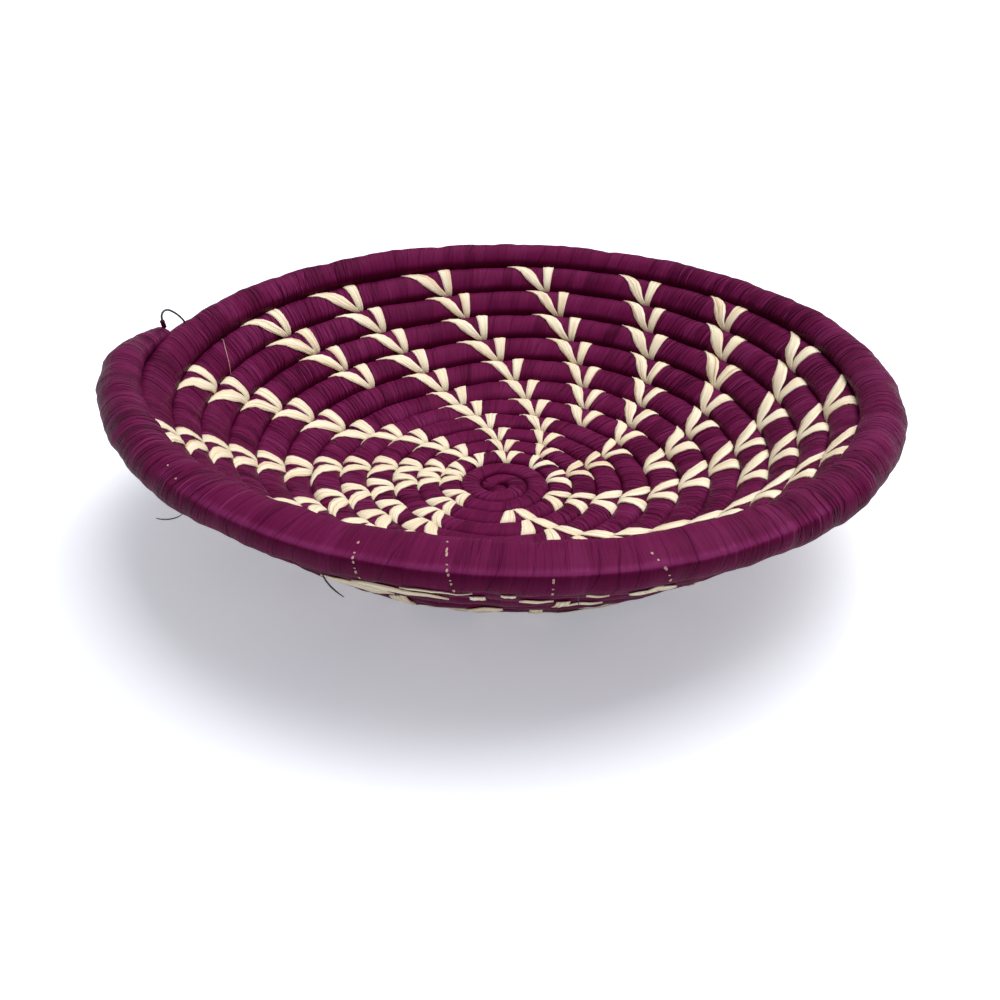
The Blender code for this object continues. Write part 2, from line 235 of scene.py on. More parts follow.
    def sideways(self, radii: ndarray) -> ndarray:
        """How far the coil is shifted along X at these radii, so that the hub lies off the middle."""
        return self.centre_shift * (1 - 2 * radii / self.rim_diameter)

    def stray(self, radii: ndarray, turns: ndarray) -> ndarray:
        """How far the coil strays from round: the bowl is a little longer along one diagonal."""
        share = 2 * radii / self.rim_diameter
        return self.oval_reach * share * share * np.cos(2 * (self.angle_at(turns) - self.oval_direction))

    def sag(self, turns: ndarray) -> ndarray:
        """How far the rows hang below the even spiral, at the back and left where the weave has settled.

        Args:
            turns: Places along the coil in turns.

        Returns:
            The drops.
        """
        angle = np.degrees(self.angle_at(turns)) % 360
        end = np.interp(turns, self.sag_end_rows, self.sag_ends)
        rise = np.clip((angle - self.sag_rise[0]) / (self.sag_rise[1] - self.sag_rise[0]), 0.0, 1.0)
        fall = np.clip((end - angle) / self.sag_fade, 0.0, 1.0)
        return ease(np.interp(turns, self.sag_rows, self.sag_drops), np.minimum(rise, fall))

    def parting(self, turns: ndarray) -> ndarray:
        """Half of how far the sag opens the groove between a row and the one outside it."""
        return (self.sag(turns) - self.sag(turns - 1)) * np.sin(self.read("slope", turns)) / 2

    def nudge(self, turns: ndarray) -> ndarray:
        """How far the second row is pushed out towards the rim beside the tail."""
        return self.nudge_reach * np.exp(-((turns - self.nudge_turn) / self.nudge_spread) ** 2)

    def pitch(self, radius: ndarray | float) -> ndarray:
        """Width of one turn along the bowl's profile, at this radius."""
        span = self.full_coil_radius - self.thin_coil_radius
        return blend(self.centre_coil, self.wall_coil, (radius - self.thin_coil_radius) / span)

    def slope(self, radius: ndarray | float) -> ndarray:
        """Slope of the bowl's profile at this radius."""
        share = np.clip((radius - self.base_radius) / (self.wall_radius - self.base_radius), 0.0, 1.0)
        return ease(self.wall_slope, share)

    def box_middle(self, radii: ndarray, thick: ndarray) -> ndarray:
        """Finds the middle of the box that the part's six-sided coil fills.

        Args:
            radii: The spiral's radius at each step, before it strays from round.
            thick: The coil's thickness at each step, without the tail's taper.

        Returns:
            The middle's x and y before the coil is moved onto the origin.
        """
        path = self.path
        turns = path["turn"]
        own = (turns >= -self.slack_turns) & (turns <= self.coil_turns() + self.slack_turns)
        angle = self.angle_at(turns[own])
        slope = path["slope"][own]
        tail = len(self.part_taper)
        loss = np.zeros(len(slope))
        loss[:tail] = thick[own][:tail] * (1 - np.array(self.part_taper))
        reach = (thick[own] - loss) / 2
        lows, highs = np.full(2, np.inf), np.full(2, -np.inf)
        for side in range(self.part_sides):
            turned = side * FULL / self.part_sides
            outward = (np.sin(turned) * np.cos(slope) - np.cos(turned) * np.sin(slope)) * reach
            away = path["radius"][own] - loss / 2 * self.part_tuck * np.cos(slope) + outward
            spots = np.stack([np.cos(angle) * away + self.sideways(radii[own]), np.sin(angle) * away])
            lows, highs = np.minimum(lows, spots.min(axis=1)), np.maximum(highs, spots.max(axis=1))
        return (lows + highs) / 2

    def read(self, name: str, turns: ndarray | float) -> ndarray:
        """One of the path's values at these turns."""
        return np.interp(turns, self.path["turn"], self.path[name])

    def axes(self, turns: ndarray) -> tuple[ndarray, ndarray]:
        """The two directions of the coil's section.

        Args:
            turns: Places along the coil in turns.

        Returns:
            Unit vectors towards the rim and towards the bowl's inside.
        """
        angle = self.angle_at(turns)
        slope = self.read("slope", turns)[:, None]
        flat = np.stack([np.cos(angle), np.sin(angle), np.zeros_like(angle)], axis=-1)
        up = np.array([0.0, 0.0, 1.0])
        return flat * np.cos(slope) + up * np.sin(slope), up * np.cos(slope) - flat * np.sin(slope)

    def centre(self, turns: ndarray) -> ndarray:
        """The middle of the coil's section.

        Args:
            turns: Places along the coil in turns.

        Returns:
            The middle at each place, one a row.
        """
        angle = self.angle_at(turns)
        radius = self.read("radius", turns)
        spot = np.stack([
            np.cos(angle) * radius + self.read("shift_x", turns),
            np.sin(angle) * radius + self.read("shift_y", turns),
            self.read("height", turns),
        ], axis=-1)
        uphill, _ = self.axes(turns)
        return spot + uphill * (self.nudge(turns) - self.read("loss", turns) / 2 * self.tail_tuck)[:, None]

    def length_at(self, turns: ndarray | float) -> ndarray:
        """Length along the coil from its tail at these turns."""
        return np.interp(turns, self.path["fine_turn"], self.path["fine_length"])

    def turn_at(self, lengths: ndarray | float) -> ndarray:
        """Turns from the tail at these lengths along the coil."""
        return np.interp(lengths, self.path["fine_length"], self.path["fine_turn"])

    def coil_turns(self) -> float:
        """Turns from the tail to the end of the part's own coil."""
        return float(self.path["coil_turns"][0])

    def last_turn(self) -> float:
        """Turns from the tail to where the raffia ends in the hub."""
        return float(self.path["turn"][-1])

    def girth(self, turns: ndarray | float) -> ndarray:
        """Half the coil's thickness, which turns a distance round the section into an angle."""
        return self.read("thick", turns) / 2

    def free_share(self, turns: ndarray) -> ndarray:
        """How free the coil's outer side is: 1 on the rim, 0 where a turn lies against it."""
        return blend(1.0, 0.0, (turns - 1 + self.rim_fade_turns / 2) / self.free_fade_turns)

    def front_share(self, turns: ndarray) -> ndarray:
        """How far the rim is pinched into a ridge: a little at the back and sides, and 1 at the front."""
        share = (-np.sin(self.angle_at(turns)) - self.front_start) / self.front_span
        return blend(self.back_pinch, 1.0, share) * self.free_share(turns)

    def section(self, turns: ndarray, angles: ndarray) -> tuple[ndarray, ndarray]:
        """Shape of the coil's section: a rounded square, narrower where it is pressed against its neighbours.

        Args:
            turns: Places along the coil in turns.
            angles: Angles round the section.

        Returns:
            The reach towards the bowl's inside and the reach towards the rim.
        """
        thick = self.read("thick", turns)
        pitch = self.read("pitch", turns)
        loss = self.read("loss", turns)
        pressed = np.minimum(thick / 2, pitch / 2 - loss / 2 * self.tail_tuck) + self.contact
        inside, uphill = np.cos(angles), np.sin(angles)
        pinch = self.front_share(turns)
        power = 2 / np.where(uphill > 0, blend(self.squareness, self.rim_squareness, pinch), self.squareness)
        high = thick / 2 * self.crown * np.sign(inside) * np.abs(inside) ** power
        free = self.free_share(turns)
        outer = pressed + (thick / 2 - pressed) * free + self.parting(turns) * (1 - free)
        inner = pressed + self.nudge(turns) - self.nudge(turns + 1) + self.parting(turns + 1)
        wide = np.where(uphill > 0, outer, inner) * np.sign(uphill) * np.abs(uphill) ** power
        away = np.abs(np.arctan2(uphill, inside) - QUARTER)
        wide = wide + self.ridge * pinch * np.exp(-(away / self.ridge_spread) ** 2)
        high = high - self.ridge_drop * pinch * np.maximum(wide, 0.0)
        return high, wide

    def swell(self, lengths: ndarray, angles: ndarray) -> ndarray:
        """Unevenness of the wound coil, from slack and tight wraps and from the stalks inside it."""
        waves = [(height * MM, length * MM, count, phase) for height, length, count, phase in self.swells]
        return ripple(lengths, angles, waves)

    def lay(self, lengths: ndarray, angles: ndarray, lifts: ndarray) -> ndarray:
        """Lays points on the coil.

        Args:
            lengths: Lengths along the coil from its tail.
            angles: Angles round the section.
            lifts: Heights over the wound surface.

        Returns:
            The points, one a row, none lower than what the bowl stands on.
        """
        turns = self.turn_at(lengths)
        uphill, inward = self.axes(turns)
        high, wide = self.section(turns, angles)
        thin = np.clip(self.read("thick", turns) / self.wall_coil, self.thin_swell, 1.0)
        swell = self.swell(lengths, angles) * thin
        free = blend(self.pressed_swell, 1.0, self.free_share(turns))
        sideways = np.where(np.sin(angles) > 0, free, self.pressed_swell)
        points = self.centre(turns)
        points = points + inward * (high + (lifts + swell) * np.cos(angles))[:, None]
        points = points + uphill * (wide + (lifts + swell * sideways) * np.sin(angles))[:, None]
        points[:, 2] = np.maximum(points[:, 2], 0.0)
        return points


class Tone:
    """One value in a node tree, which writes Python's operators as Math nodes."""

    def __init__(self, nodes: Nodes, socket: NodeSocket) -> None:
        """Wraps an output socket of these nodes."""
        self.nodes = nodes
        self.socket = socket

    def _math(self, operation: str, *values: Tone | float) -> Tone:
        """One Math node over these values, in order."""
        return self.nodes.tone("ShaderNodeMath", {"operation": operation}, dict(enumerate(values)))

    def __add__(self, other: Tone | float) -> Tone:
        """This value plus another."""
        return self._math("ADD", self, other)

    __radd__ = __add__

    def __sub__(self, other: Tone | float) -> Tone:
        """This value less another."""
        return self._math("SUBTRACT", self, other)

    def __rsub__(self, other: Tone | float) -> Tone:
        """A plain number less this value."""
        return self._math("SUBTRACT", other, self)

    def __mul__(self, other: Tone | float) -> Tone:
        """This value times another."""
        return self._math("MULTIPLY", self, other)

    __rmul__ = __mul__

    def __truediv__(self, other: Tone | float) -> Tone:
        """This value over another."""
        return self._math("DIVIDE", self, other)

    def __pow__(self, other: Tone | float) -> Tone:
        """This value to a power."""
        return self._math("POWER", self, other)

    def most(self, other: Tone | float) -> Tone:
        """The larger of this value and another."""
        return self._math("MAXIMUM", self, other)

    def ease(self, start: float, end: float) -> Tone:
        """Rises smoothly from 0 to 1 as this value goes from start to end."""
        inputs = {"Value": self, "From Min": start, "From Max": end}
        return self.nodes.tone("ShaderNodeMapRange", {"interpolation_type": "SMOOTHSTEP"}, inputs)

    def between(self, rise: Pair, fall: Pair) -> Tone:
        """Rises smoothly from 0 to 1 over the first span and falls back over the second."""
        return self.ease(*rise) - self.ease(*fall)


class Nodes:
    """Writes the nodes of one tree."""

    def __init__(self, tree: NodeTree) -> None:
        """Takes the tree to write in."""
        self.tree = tree

    def feed(self, node: Node, name: str | int, value: object) -> None:
        """Links a value to one of a node's sockets, or sets it there.

        Args:
            node: The node.
            name: The socket's name or number.
            value: A value of these nodes, or a plain one.
        """
        if isinstance(value, Tone):
            self.tree.links.new(value.socket, node.inputs[name])
        else:
            node.inputs[name].default_value = value

    def node(self, kind: str, settings: dict[str, object], inputs: dict[str | int, object]) -> Node:
        """Adds one node.

        Args:
            kind: The node's type.
            settings: Its own settings, such as a Math node's operation, which are set first.
            inputs: Values or links of its sockets, by name or number.

        Returns:
            The node.
        """
        node = self.tree.nodes.new(kind)
        for name, value in settings.items():
            setattr(node, name, value)
        for name, value in inputs.items():
            self.feed(node, name, value)
        return node

    def tone(
        self, kind: str, settings: dict[str, object], inputs: dict[str | int, object], output: str | int = 0
    ) -> Tone:
        """Adds one node and wraps one of its outputs."""
        return Tone(self, self.node(kind, settings, inputs).outputs[output])

    def split(self, vector: Tone) -> tuple[Tone, ...]:
        """The three parts of a vector."""
        parts = self.node("ShaderNodeSeparateXYZ", {}, {"Vector": vector})
        return tuple(Tone(self, output) for output in parts.outputs)

    def noise(self, x: Tone | float, y: Tone | float, z: Tone | float, detail: float) -> Tone:
        """Soft noise between 0 and 1 at this point."""
        point = self.tone("ShaderNodeCombineXYZ", {}, {0: x, 1: y, 2: z})
        return self.tone("ShaderNodeTexNoise", {}, {"Vector": point, "Scale": 1.0, "Detail": detail})

    def mix(self, share: Tone | float, low: Tone | Colour, high: Tone | Colour) -> Tone:
        """A colour between two others."""
        ends = [(*end, 1.0) if isinstance(end, tuple) else end for end in (low, high)]
        return self.tone("ShaderNodeMix", {"data_type": "RGBA"}, {0: share, 6: ends[0], 7: ends[1]}, 2)


class Bench(Nodes):
    """Writes one material's nodes."""

    def __init__(self, name: str) -> None:
        """Starts a material with its Principled shader.

        Args:
            name: The material's name.
        """
        self.material = bpy.data.materials.new(name)
        self.material.use_nodes = True
        super().__init__(self.material.node_tree)
        self.shader = self.tree.nodes["Principled BSDF"]

    def place(self) -> tuple[Tone, ...]:
        """The piece's own UV map, as its length along the raffia or coil and its share across or round it."""
        return self.split(self.tone("ShaderNodeUVMap", {"uv_map": UV_NAME}, {}))[:2]

    def spot(self) -> tuple[Tone, ...]:
        """The place on the bowl, as X, Y and Z."""
        return self.split(self.tone("ShaderNodeTexCoord", {}, {}, "Object"))

    def drive(self, name: str, value: object) -> None:
        """Feeds one socket of the Principled shader."""
        self.feed(self.shader, name, value)

    def bump(self, height: Tone, distance: float) -> None:
        """Raises the surface by this height times the distance."""
        inputs = {"Height": height, "Distance": distance, "Strength": 1.0}
        self.drive("Normal", self.tone("ShaderNodeBump", {}, inputs))


@dataclass(frozen=True)
class Grain:
    """A soft pattern: how quickly it changes along and across, its seed, its detail, and how far it sways."""

    along: float
    across: float
    seed: float
    detail: float = 2.0
    sway: float = 0.0

    def at(self, bench: Bench, along: Tone, across: Tone, waver: Tone | None = None) -> Tone:
        """Draws the pattern.

        Args:
            bench: The material's bench.
            along: Length along the piece.
            across: Share across or round it.
            waver: What the pattern sways with.

        Returns:
            The pattern, between 0 and 1.
        """
        side = across * self.across
        if waver is not None:
            side = side + waver * self.sway
        return bench.noise(along * self.along, side, self.seed, self.detail)


@dataclass(frozen=True)
class LineLayer:
    """One layer of lines that cross the coil: how far apart they are, how wide, and where they show."""

    apart: float
    width: float
    wander: float
    lean: float
    seed: float
    patch: float
    shown: Pair
    waver: Pair = (70.0, 2.6)
    chance: float = 0.9
    patch_along: float = 2.3
    patch_seed: float = 3.0
    least_width: float = 0.01 * MM
    core: float = 0.2

    def lines(self, bench: Bench, along: Tone, round_coil: Tone) -> Tone:
        """Draws the layer: each line swells from nothing to its full width and dies away again.

        Args:
            bench: The material's bench.
            along: Length along the coil.
            round_coil: Share of the way round it.

        Returns:
            The lines' strength.
        """
        waver = Grain(*self.waver, self.seed).at(bench, along, round_coil) - 0.5
        place = (along + round_coil * self.lean + waver * self.wander) / self.apart + self.seed
        settings = {"voronoi_dimensions": "1D", "feature": "DISTANCE_TO_EDGE"}
        inputs = {"W": place, "Scale": 1.0, "Randomness": self.chance}
        away = bench.tone("ShaderNodeTexVoronoi", settings, inputs, "Distance") * self.apart
        patch = Grain(self.patch_along, self.patch, self.seed + self.patch_seed).at(bench, place, round_coil)
        reach = patch.ease(*self.shown) * self.width
        return 1.0 - (away / (reach + self.least_width)).ease(self.core, 1.0)


@dataclass(frozen=True)
class WrapLayer:
    """Strips of raffia wound side by side, each lapped a little over the next."""

    apart: float = 4.4 * MM
    wander: float = 2.6 * MM
    lean: float = 4.0 * MM
    waver: Grain = Grain(55.0, 2.0, 31.0)
    chance: float = 0.85

    def strips(self, bench: Bench, along: Tone, round_coil: Tone) -> tuple[Tone, Tone]:
        """Draws the strips.

        Args:
            bench: The material's bench.
            along: Length along the coil.
            round_coil: Share of the way round it.

        Returns:
            A chance value for each strip, and the height of its lapped surface.
        """
        waver = self.waver.at(bench, along, round_coil) - 0.5
        place = (along + round_coil * self.lean + waver * self.wander) / self.apart
        settings = {"voronoi_dimensions": "1D", "feature": "F1"}
        inputs = {"W": place, "Scale": 1.0, "Randomness": self.chance}
        cell = bench.node("ShaderNodeTexVoronoi", settings, inputs)
        return bench.split(Tone(bench, cell.outputs["Color"]))[0], place - Tone(bench, cell.outputs["W"])


@dataclass(frozen=True)
class Amount:
    """How strong a mark is on the whole, and how much it gains where a mask is full."""

    whole: float
    gain: float

    def at(self, mask: Tone) -> Tone:
        """The amount under this mask."""
        return mask * self.gain + self.whole


@dataclass(frozen=True)
class WrapFinish:
    """Plum raffia wound round the coil: lapped strips with fine fibres, creases and pale streaks.

    The creases and folds are sunk in the relief and darkened with painted shade, and the streaks gain painted
    sheen on the side rims. Painted shade also darkens the grooves, the lower sides of the rows on the back
    wall, the back of the coil and the band below the front ridge, and a painted highlight runs along the
    ridge.

    Spans round the coil are shares of the way from the inner groove over the crest, at a quarter, to the
    outer groove, at a half, and on over the back. A band has two spans: where it rises and where it falls.
    """

    name: str = "wound plum raffia"
    shade: Colour = (0.030, 0.0006, 0.010)
    plum: Colour = (0.125, 0.0065, 0.050)
    # Pale plum, which also carries the painted highlight on the front ridge and the painted sheen on the side
    # rims.
    light: Colour = (0.205, 0.024, 0.108)
    sheen: Colour = (0.95, 0.36, 0.68)
    # Colour of the painted shade in the grooves, on the lower sides of the rows, on the back and below the
    # ridge.
    painted_shade: Colour = (0.056, 0.0007, 0.013)
    gloss: float = 0.12
    density: float = 1.30
    wraps: WrapLayer = WrapLayer()
    creases: LineLayer = LineLayer(1.9 * MM, 0.40 * MM, 2.8 * MM, 6.4 * MM, 5.0, 2.6, (0.42, 0.64))
    folds: LineLayer = LineLayer(6.5 * MM, 0.50 * MM, 5.0 * MM, 9.6 * MM, 2.0, 2.6, (0.46, 0.66))
    streaks: LineLayer = LineLayer(2.6 * MM, 0.50 * MM, 2.6 * MM, 1.6 * MM, 9.0, 3.0, (0.48, 0.70))
    lines_shown: Amount = Amount(0.14, 0.86)
    folds_shown: Amount = Amount(0.35, 0.65)
    side_span: Pair = (0.10, 0.60)
    rim_end: Pair = (0.66, 0.76)
    front_span: Pair = (0.55, 0.92)
    wall_span: Pair = (-0.15, 0.55)
    wall_radii: Pair = (58 * MM, 82 * MM)
    inner_groove: Pair = (0.05, 0.16)
    outer_groove: tuple[Pair, Pair] = ((0.43, 0.50), (0.52, 0.60))
    lower_side: Pair = (0.125, 0.200)
    back: Pair = (0.52, 0.62)
    ridge: tuple[Pair, Pair] = ((0.43, 0.485), (0.49, 0.51))
    below_ridge: tuple[Pair, Pair] = ((0.505, 0.525), (0.55, 0.62))
    # Strengths of the painted shade in the grooves, on the back of the coil and below the front ridge.
    groove_painted_shade: float = 0.88
    back_painted_shade: float = 0.20
    below_ridge_painted_shade: float = 0.45
    fibre_width: float = 0.55 * MM
    fibre_slant: float = 6.0
    fibre_sway: float = 4.0
    fibre_waver: Grain = Grain(90.0, 3.0, 21.0)
    fibre_across: float = 5.0
    fibre_seed: float = 3.0
    fibre_detail: float = 4.0
    patches: Grain = Grain(24.0, 2.0, 11.0)
    middle_tone: float = 0.40
    fibre_tone: Amount = Amount(0.48, 0.20)
    strip_tone: Amount = Amount(0.26, 0.08)
    # Pale streaks everywhere, with painted sheen added on the side rims.
    streak_and_painted_sheen: Amount = Amount(0.60, 0.80)
    patch_tone: float = 0.36
    # Painted highlight along the front ridge.
    ridge_painted_highlight: float = 0.46
    light_span: Pair = (0.36, 0.95)
    shade_span: Pair = (0.0, 0.42)
    # Painted shade in the creases, stronger on the side rims, and in the folds.
    crease_painted_shade: Amount = Amount(0.78, 0.15)
    fold_painted_shade: float = 0.74
    roughness: float = 0.42
    roughness_swing: float = 0.30
    relief: float = 0.60 * MM
    lap_relief: float = 0.40
    fibre_relief: Amount = Amount(0.20, 0.18)
    strip_relief: float = 0.18
    streak_relief: float = 0.20
    line_relief: float = 0.60

    def fibres(self, bench: Bench, along: Tone, round_coil: Tone) -> Tone:
        """Draws the fine fibres.

        Args:
            bench: The material's bench.
            along: Length along the coil.
            round_coil: Share of the way round it.

        Returns:
            The fibres, between 0 and 1.
        """
        waver = self.fibre_waver.at(bench, along, round_coil)
        place = along / self.fibre_width + round_coil * self.fibre_slant + waver * self.fibre_sway
        return bench.noise(place, round_coil * self.fibre_across, self.fibre_seed, self.fibre_detail)

    def make(self) -> Material:
        """Makes the material.

        Returns:
            The material.
        """
        bench = Bench(self.name)
        along, round_coil = bench.place()
        x, y, _ = bench.spot()
        radius = (x * x + y * y) ** 0.5 + MM
        sides = (x * x / (x * x + y * y + MM * MM)).ease(*self.side_span)
        rim = 1.0 - along.ease(*self.rim_end)
        front = rim * (0.0 - y / radius).ease(*self.front_span)
        wall = (y / radius).ease(*self.wall_span) * radius.ease(*self.wall_radii)
        # Where shade is painted: the outer and inner grooves, the lower sides of the rows on the back wall,
        # the back of the coil and the band below the front ridge.
        outer_groove = round_coil.between(*self.outer_groove) * (1.0 - rim)
        lower_side = (1.0 - round_coil.ease(*self.lower_side)) * wall
        groove = (1.0 - round_coil.ease(*self.inner_groove)).most(lower_side).most(outer_groove)
        below = round_coil.between(*self.below_ridge) * front * self.below_ridge_painted_shade
        painted_shade_mask = groove * self.groove_painted_shade + (round_coil.ease(*self.back) * self.back_painted_shade).most(below)
        shown = self.lines_shown.at(sides)
        creases = self.creases.lines(bench, along, round_coil) * shown
        folds = self.folds.lines(bench, along, round_coil) * self.folds_shown.at(shown)
        streaks = self.streaks.lines(bench, along, round_coil) * shown
        chance, lap = self.wraps.strips(bench, along, round_coil)
        fibre = self.fibres(bench, along, round_coil)
        patch = self.patches.at(bench, along, round_coil)
        tone = self.middle_tone + (fibre - 0.5) * self.fibre_tone.at(sides)
        tone = tone + (chance - 0.5) * self.strip_tone.at(sides) + (patch - 0.5) * self.patch_tone
        # Pale streaks, with painted sheen added on the side rims.
        tone = tone + streaks * self.streak_and_painted_sheen.at(rim * sides)
        # Painted highlight along the front ridge.
        tone = tone + round_coil.between(*self.ridge) * front * self.ridge_painted_highlight
        pale = bench.mix(tone.ease(*self.light_span), self.plum, self.light)
        hue = bench.mix(tone.ease(*self.shade_span), self.shade, pale)
        # Painted shade in the grooves, on the lower sides, on the back and below the ridge.
        hue = bench.mix(painted_shade_mask, hue, self.painted_shade)
        # Painted shade in the creases and folds, which the bump also sinks.
        dark = (creases * self.crease_painted_shade.at(rim * sides)).most(folds * self.fold_painted_shade)
        bench.drive("Base Color", bench.mix(dark, hue, self.shade))
        bench.drive("Roughness", self.roughness + (fibre - 0.5) * self.roughness_swing)
        bench.drive("IOR", self.density)
        bench.drive("Specular IOR Level", self.gloss)
        bench.drive("Specular Tint", (*self.sheen, 1.0))
        height = lap * self.lap_relief + fibre * self.fibre_relief.at(sides) + chance * self.strip_relief
        height = height + streaks * self.streak_relief
        bench.bump(height - creases * self.line_relief - folds * self.line_relief, self.relief)
        return bench.material


@dataclass(frozen=True)
class StrandFinish:
    """Natural raffia ribbon, folded and ribbed along its length, with darker patches."""

    name: str = "cream raffia ribbon"
    shade: Colour = (0.42, 0.24, 0.12)
    cream: Colour = (0.87, 0.70, 0.47)
    light: Colour = (0.98, 0.90, 0.70)
    waver: Grain = Grain(110.0, 1.5, 4.0)
    ribs: Grain = Grain(30.0, 5.0, 2.0, 1.0, 1.4)
    fibres: Grain = Grain(140.0, 22.0, 5.0, 3.0, 4.0)
    patches: Grain = Grain(60.0, 0.8, 9.0)
    rib_tone: float = 0.75
    fibre_tone: float = 0.35
    patch_tone: float = 0.20
    light_span: Pair = (0.52, 0.80)
    shade_span: Pair = (0.34, 0.58)
    roughness: float = 0.45
    roughness_swing: float = 0.2
    gloss: float = 0.35
    relief: float = 0.30 * MM
    fibre_relief: float = 0.35

    def make(self) -> Material:
        """Makes the material.

        Returns:
            The material.
        """
        bench = Bench(self.name)
        along, across = bench.place()
        waver = self.waver.at(bench, along, across) - 0.5
        rib = self.ribs.at(bench, along, across, waver)
        fibre = self.fibres.at(bench, along, across, waver)
        patch = self.patches.at(bench, along, across)
        tone = rib * self.rib_tone + fibre * self.fibre_tone + patch * self.patch_tone
        pale = bench.mix(tone.ease(*self.light_span), self.cream, self.light)
        bench.drive("Base Color", bench.mix(tone.ease(*self.shade_span), self.shade, pale))
        bench.drive("Roughness", self.roughness + (fibre - 0.5) * self.roughness_swing)
        bench.drive("Specular IOR Level", self.gloss)
        bench.bump(rib + fibre * self.fibre_relief, self.relief)
        return bench.material


NICK_FINISH = StrandFinish("nick of cream raffia", (0.36, 0.13, 0.16), (0.58, 0.30, 0.28), (0.80, 0.58, 0.46))


@dataclass(frozen=True)
class StalkFinish:
    """Dry grass stalks, straw brown with long fibres."""

    name: str = "dry stalks"
    shade: Colour = (0.22, 0.14, 0.06)
    straw: Colour = (0.48, 0.35, 0.18)
    fibres: Grain = Grain(12.0, 40.0, 1.0, 3.0)
    tone_span: Pair = (0.3, 0.7)
    roughness: float = 0.85
    relief: float = 0.2 * MM

    def make(self) -> Material:
        """Makes the material.

        Returns:
            The material.
        """
        bench = Bench(self.name)
        fibre = self.fibres.at(bench, *bench.place())
        bench.drive("Base Color", bench.mix(fibre.ease(*self.tone_span), self.shade, self.straw))
        bench.drive("Roughness", self.roughness)
        bench.bump(fibre, self.relief)
        return bench.material


@dataclass(frozen=True)
class CordFinish:
    """Thin grey cord of the hanging loop, twisted from dull dark fibres."""

    name: str = "grey cord"
    shade: Colour = (0.030, 0.024, 0.030)
    grey: Colour = (0.120, 0.105, 0.115)
    twist: Pair = (1600.0, 2600.0)
    detail: float = 2.0
    tone_span: Pair = (0.35, 0.65)
    roughness: float = 0.55
    relief: float = 0.1 * MM

    def make(self) -> Material:
        """Makes the material.

        Returns:
            The material.
        """
        bench = Bench(self.name)
        x, y, z = bench.spot()
        twist = bench.noise(x * self.twist[0], y * self.twist[0], z * self.twist[1], self.detail)
        bench.drive("Base Color", bench.mix(twist.ease(*self.tone_span), self.shade, self.grey))
        bench.drive("Roughness", self.roughness)
        bench.bump(twist, self.relief)
        return bench.material


def select_only(*things: Object) -> None:
    """Deselects everything, then selects these objects and makes the first one active.

    Args:
        things: The objects.
    """
    bpy.ops.object.select_all(action="DESELECT")
    for thing in things:
        thing.select_set(True)
    bpy.context.view_layer.objects.active = things[0]


def edit(thing: Object, work: Callable[[], None]) -> None:
    """Runs edit-mode operators on one object with all of its mesh selected.

    Args:
        thing: The object.
        work: The operators to run.
    """
    select_only(thing)
    bpy.ops.object.mode_set(mode="EDIT")
    bpy.ops.mesh.select_all(action="SELECT")
    work()
    bpy.ops.object.mode_set(mode="OBJECT")


def apply_modifiers(thing: Object) -> None:
    """Applies all of an object's modifiers in order.

    Args:
        thing: The object.
    """
    select_only(thing)
    for modifier in list(thing.modifiers):
        bpy.ops.object.modifier_apply(modifier=modifier.name)


def shade_smooth(thing: Object) -> None:
    """Shades one object smooth."""
    select_only(thing)
    bpy.ops.object.shade_smooth()


def put(name: str, data: ID) -> Object:
    """Puts a new object into the scene.

    Args:
        name: Its name.
        data: Its mesh, curve, lamp or camera.

    Returns:
        The object.
    """
    thing = bpy.data.objects.new(name, data)
    bpy.context.scene.collection.objects.link(thing)
    return thing


def join(pieces: Sequence[Object]) -> Object:
    """Joins laid pieces into one with its faces pointing outwards.

    Args:
        pieces: The pieces.

    Returns:
        The joined object.
    """
    select_only(*pieces)
    bpy.ops.object.join()
    joined = bpy.context.view_layer.objects.active
    edit(joined, lambda: bpy.ops.mesh.normals_make_consistent(inside=False))
    return joined


def points_of(mesh: Mesh) -> ndarray:
    """Reads a mesh's points.

    Args:
        mesh: The mesh.

    Returns:
        The points, one a row.
    """
    flat = np.empty(len(mesh.vertices) * 3, np.float32)
    mesh.vertices.foreach_get("co", flat)
    return flat.reshape(-1, 3).astype(float)


def corners_of(mesh: Mesh) -> ndarray:
    """Reads which point lies at each corner of each face.

    Args:
        mesh: The mesh.

    Returns:
        The points' numbers.
    """
    corners = np.empty(len(mesh.loops), np.int32)
    mesh.loops.foreach_get("vertex_index", corners)
    return corners


def move_points(mesh: Mesh, points: ndarray) -> None:
    """Puts the mesh's points at these places."""
    mesh.vertices.foreach_set("co", points.astype(np.float32).ravel())
    mesh.update()


def write_uv(mesh: Mesh, values: ndarray) -> None:
    """Writes the piece's own UV map, a pair for each corner of each face."""
    layer = mesh.uv_layers.get(UV_NAME) or mesh.uv_layers.new(name=UV_NAME)
    layer.data.foreach_set("uv", values.astype(np.float32).ravel())


def write_even_uv(mesh: Mesh) -> None:
    """Writes a UV map with all its corners at 0, on a piece too thin to show a pattern."""
    write_uv(mesh, np.zeros((len(mesh.loops), 2)))


def finish_piece(piece: Object, name: str, material: Material, slot: Slot, *nodes: str) -> None:
    """Names and dresses a piece and puts it on the bowl's body.

    Args:
        piece: The piece, in its place.
        name: Its name.
        material: Its finish.
        slot: The record's slot that the finish belongs to. It is not used.
        nodes: The solids that it stands for.
    """
    piece.name = name
    piece.data.name = name
    piece.data.materials.clear()
    piece.data.materials.append(material)
    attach(piece, BODY)
    if nodes:
        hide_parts(*nodes)
    LOG.info("%s: %d faces", name, len(piece.data.polygons))


